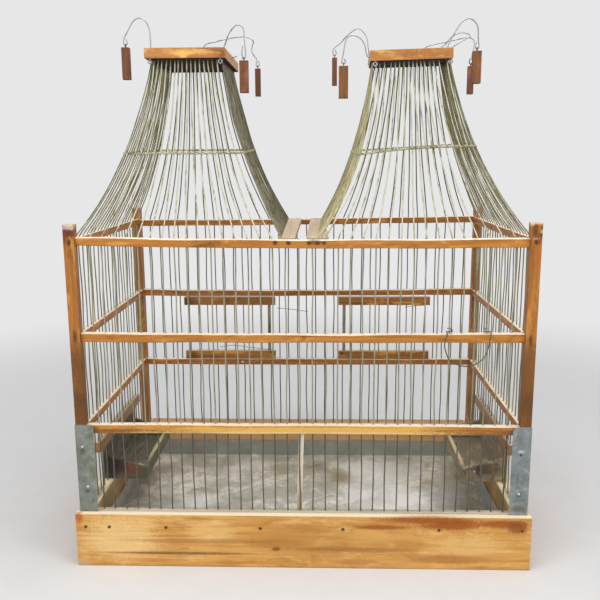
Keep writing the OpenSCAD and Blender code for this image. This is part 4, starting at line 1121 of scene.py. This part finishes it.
def end_loop(low, height, side):
    shape = ((1.1, height), (2.1, height * 0.45), (1.5, 0.75), (0, 0), (-1.5, 0.75), (-2.1, height * 0.4),
             (-0.9, height * 0.8))
    return tuple((low[0] + side * dx, low[1], low[2] + dz) for dx, dz in shape)


def cap_hooks():
    for side in SIDES:
        mesh = [], []
        for points, low, height, way in HOOKS[side]:
            tube_faces(mesh, smooth_line(points + end_loop(low, height, way), 9), HOOK_R, 10)
        for x, y in HOOK_FEET[side]:
            z = cap_underside(side, x, y)
            ring = [(x + FOOT_R * math.cos(a), y, z - FOOT_DROP + FOOT_R * math.sin(a))
                    for a in (math.pi / 2 + math.pi * 2 * q / 14 * 0.93 for q in range(15))]
            tube_faces(mesh, smooth_line([(x, y, z + 1)] + ring, 3), HOOK_R, 10)
        if side == "left":
            stub = (-94, -20, 599), (-89, -20, 601), (-84, -20, 602.2), (-80.5, -20, 603.5)
            tube_faces(mesh, smooth_line(stub, 4), HOOK_R, 8)
        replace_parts(piece_from(side + "_bent_cap_hooks", mesh, MAT["hook"]), side + "_cap_hooks")


cap_hooks()

# ---- loose wires

# Thin bits of wire that rest across the back's wires: name, the body they ride on and their points
LOOSE_BITS = (
    ("bit_beside_left_door", "cage", ((-46.5, 146.2, 252.7), (-22, 146.4, 250.6), (2.3, 146.2, 247.2))),
    ("bit_beside_right_door", "right_door", ((182.5, 146.2, 257.4), (167, 146.4, 256.4), (151.5, 146.2, 254.2))),
    ("bit_on_left_door", "left_door", ((-136.3, 146.2, 189.9), (-115.8, 146, 193.2), (-88, 146.3, 189.6),
                                       (-58.3, 146.2, 186.5))))
BOW_MID, BOW_Y = 189.0, -156.2
EYE_Z, EYE_OFF, EYE_R = 285.5, 21, 3.3     # its eyes turn round two front wires
BOW_WIRE_R, BIT_R = 0.7, 0.45
# The bow, from its left eye to its right one: X from its middle and Z, both in mm
BOW_BEND = ((-26, 278.5), (-27.4, 271), (-25.4, 263), (-21.5, 254.5), (-14, 249.6), (-5.5, 247.3), (3.5, 247.8),
            (11.5, 251.6), (17.6, 258), (21.4, 268), (23, 279))


def loose_wires():
    """The hand-bent bow on the middle rail, and thin bits of wire caught on the back."""
    bow = [(-24.5, 2, EYE_Z + 0.2), (-24.7, 0.3, EYE_Z - 2), *((u, 0, z) for u, z in BOW_BEND),
           (24, 0.3, EYE_Z - 2), (24.5, 2, EYE_Z + 0.2)]
    bow = [(BOW_MID + u, BOW_Y + v, z) for u, v, z in bow]
    mesh = [], []
    for s, end in ((-1, bow[0]), (1, bow[-1])):
        x = BOW_MID + s * EYE_OFF
        turn = [(x + EYE_R * s * math.cos(a), -WIRE_Y - EYE_R * math.sin(a),
                 EYE_Z + 0.25 * a + 1.8 * max(0, -math.sin(a)))
                for a in (math.radians(q) for q in range(0, 325, 25))]
        tube_faces(mesh, smooth_line([end, (x + 3.5 * s, -151.5, EYE_Z)] + turn, 4), BOW_WIRE_R, 8)
    tube_faces(mesh, smooth_line(bow, 6), BOW_WIRE_R, 8)
    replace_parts(piece_from("hand_bent_bow", mesh, MAT["bow"], "bail"), "wire_bail")
    for name, body, ends in LOOSE_BITS:
        mesh = [], []
        tube_faces(mesh, smooth_line(ends, 5), BIT_R, 6)
        piece_from(name, mesh, MAT["bow"], body)


loose_wires()

# ---- studio

PAPER = (0.80, 0.80, 0.81, 1)       # the pale background as it is seen
FLOOR_GAP = 0.0003         # metres below the cage
FLOOR = ((-6, -6, 0), (6, -6, 0), (6, 6, 0), (-6, 6, 0))       # metres
# Each lamp: its place, what it looks at, its size in metres and its power in watts
LAMPS = {
    "lamp_overhead": ((0.1, -0.35, 1.9), (0, 0, 0.2), (1.3, 1.0), 25),
    "lamp_left": ((-1.6, -1.4, 1.1), (0, 0, 0.3), (1.0, 1.2), 16),
    "lamp_right": ((1.7, -1.2, 0.9), (0, 0, 0.3), (1.0, 1.2), 12)}


def studio():
    scene = bpy.context.scene
    scene.view_settings.view_transform = "Standard"
    world = bpy.data.worlds.new("studio_air")
    scene.world = world
    world.use_nodes = True
    world.node_tree.nodes.clear()
    w = Wiring(world.node_tree)
    fill = w.filled("ShaderNodeBackground", {"Color": (1, 1, 1, 1), "Strength": 0.32})
    seen = w.filled("ShaderNodeBackground", {"Color": PAPER})
    pick = w.filled("ShaderNodeMixShader", {0: seen_rays(w), 1: fill, 2: seen})
    w.feed(w.add("ShaderNodeOutputWorld").inputs[0], pick)

    floor_mesh = bpy.data.meshes.new("studio_floor")
    floor_mesh.from_pydata(FLOOR, [], [(0, 1, 2, 3)])
    floor = bpy.data.objects.new("studio_floor", floor_mesh)
    floor.location.z = -FLOOR_GAP
    scene.collection.objects.link(floor)
    m, w, shader = new_material("studio_paper")
    shader.inputs["Roughness"].default_value = 0.9
    place = w.add("ShaderNodeTexCoord").outputs["Object"]
    w.feed(shader.inputs["Base Color"], w.mix(w.noise(place, 30, 3), srgb(212, 212, 213), srgb(218, 218, 218)))
    far = w.times(w.ramp(w.vec("LENGTH", place), 0.5, 1.5), seen_rays(w))
    glow = w.filled("ShaderNodeEmission", {"Color": PAPER})
    fade = w.filled("ShaderNodeMixShader", {0: far, 1: shader.outputs[0], 2: glow})
    w.feed(next(n for n in m.node_tree.nodes if n.type == "OUTPUT_MATERIAL").inputs[0], fade)
    floor_mesh.materials.append(m)

    for name, (place, look_at, size, power) in LAMPS.items():
        data = bpy.data.lights.new(name, "AREA")
        data.shape = "RECTANGLE"
        data.size, data.size_y = size
        data.energy = power
        obj = bpy.data.objects.new(name, data)
        obj.location = place
        obj.rotation_euler = (Vector(look_at) - Vector(place)).to_track_quat("-Z", "Y").to_euler()
        scene.collection.objects.link(obj)


def seen_rays(w):
    """1 for the rays that look at the background itself or through and off the cage."""
    rays = w.add("ShaderNodeLightPath")
    return w.plus(rays.outputs["Is Camera Ray"],
                  w.plus(rays.outputs["Is Glossy Ray"], rays.outputs["Is Transmission Ray"]), clamp=True)


studio()
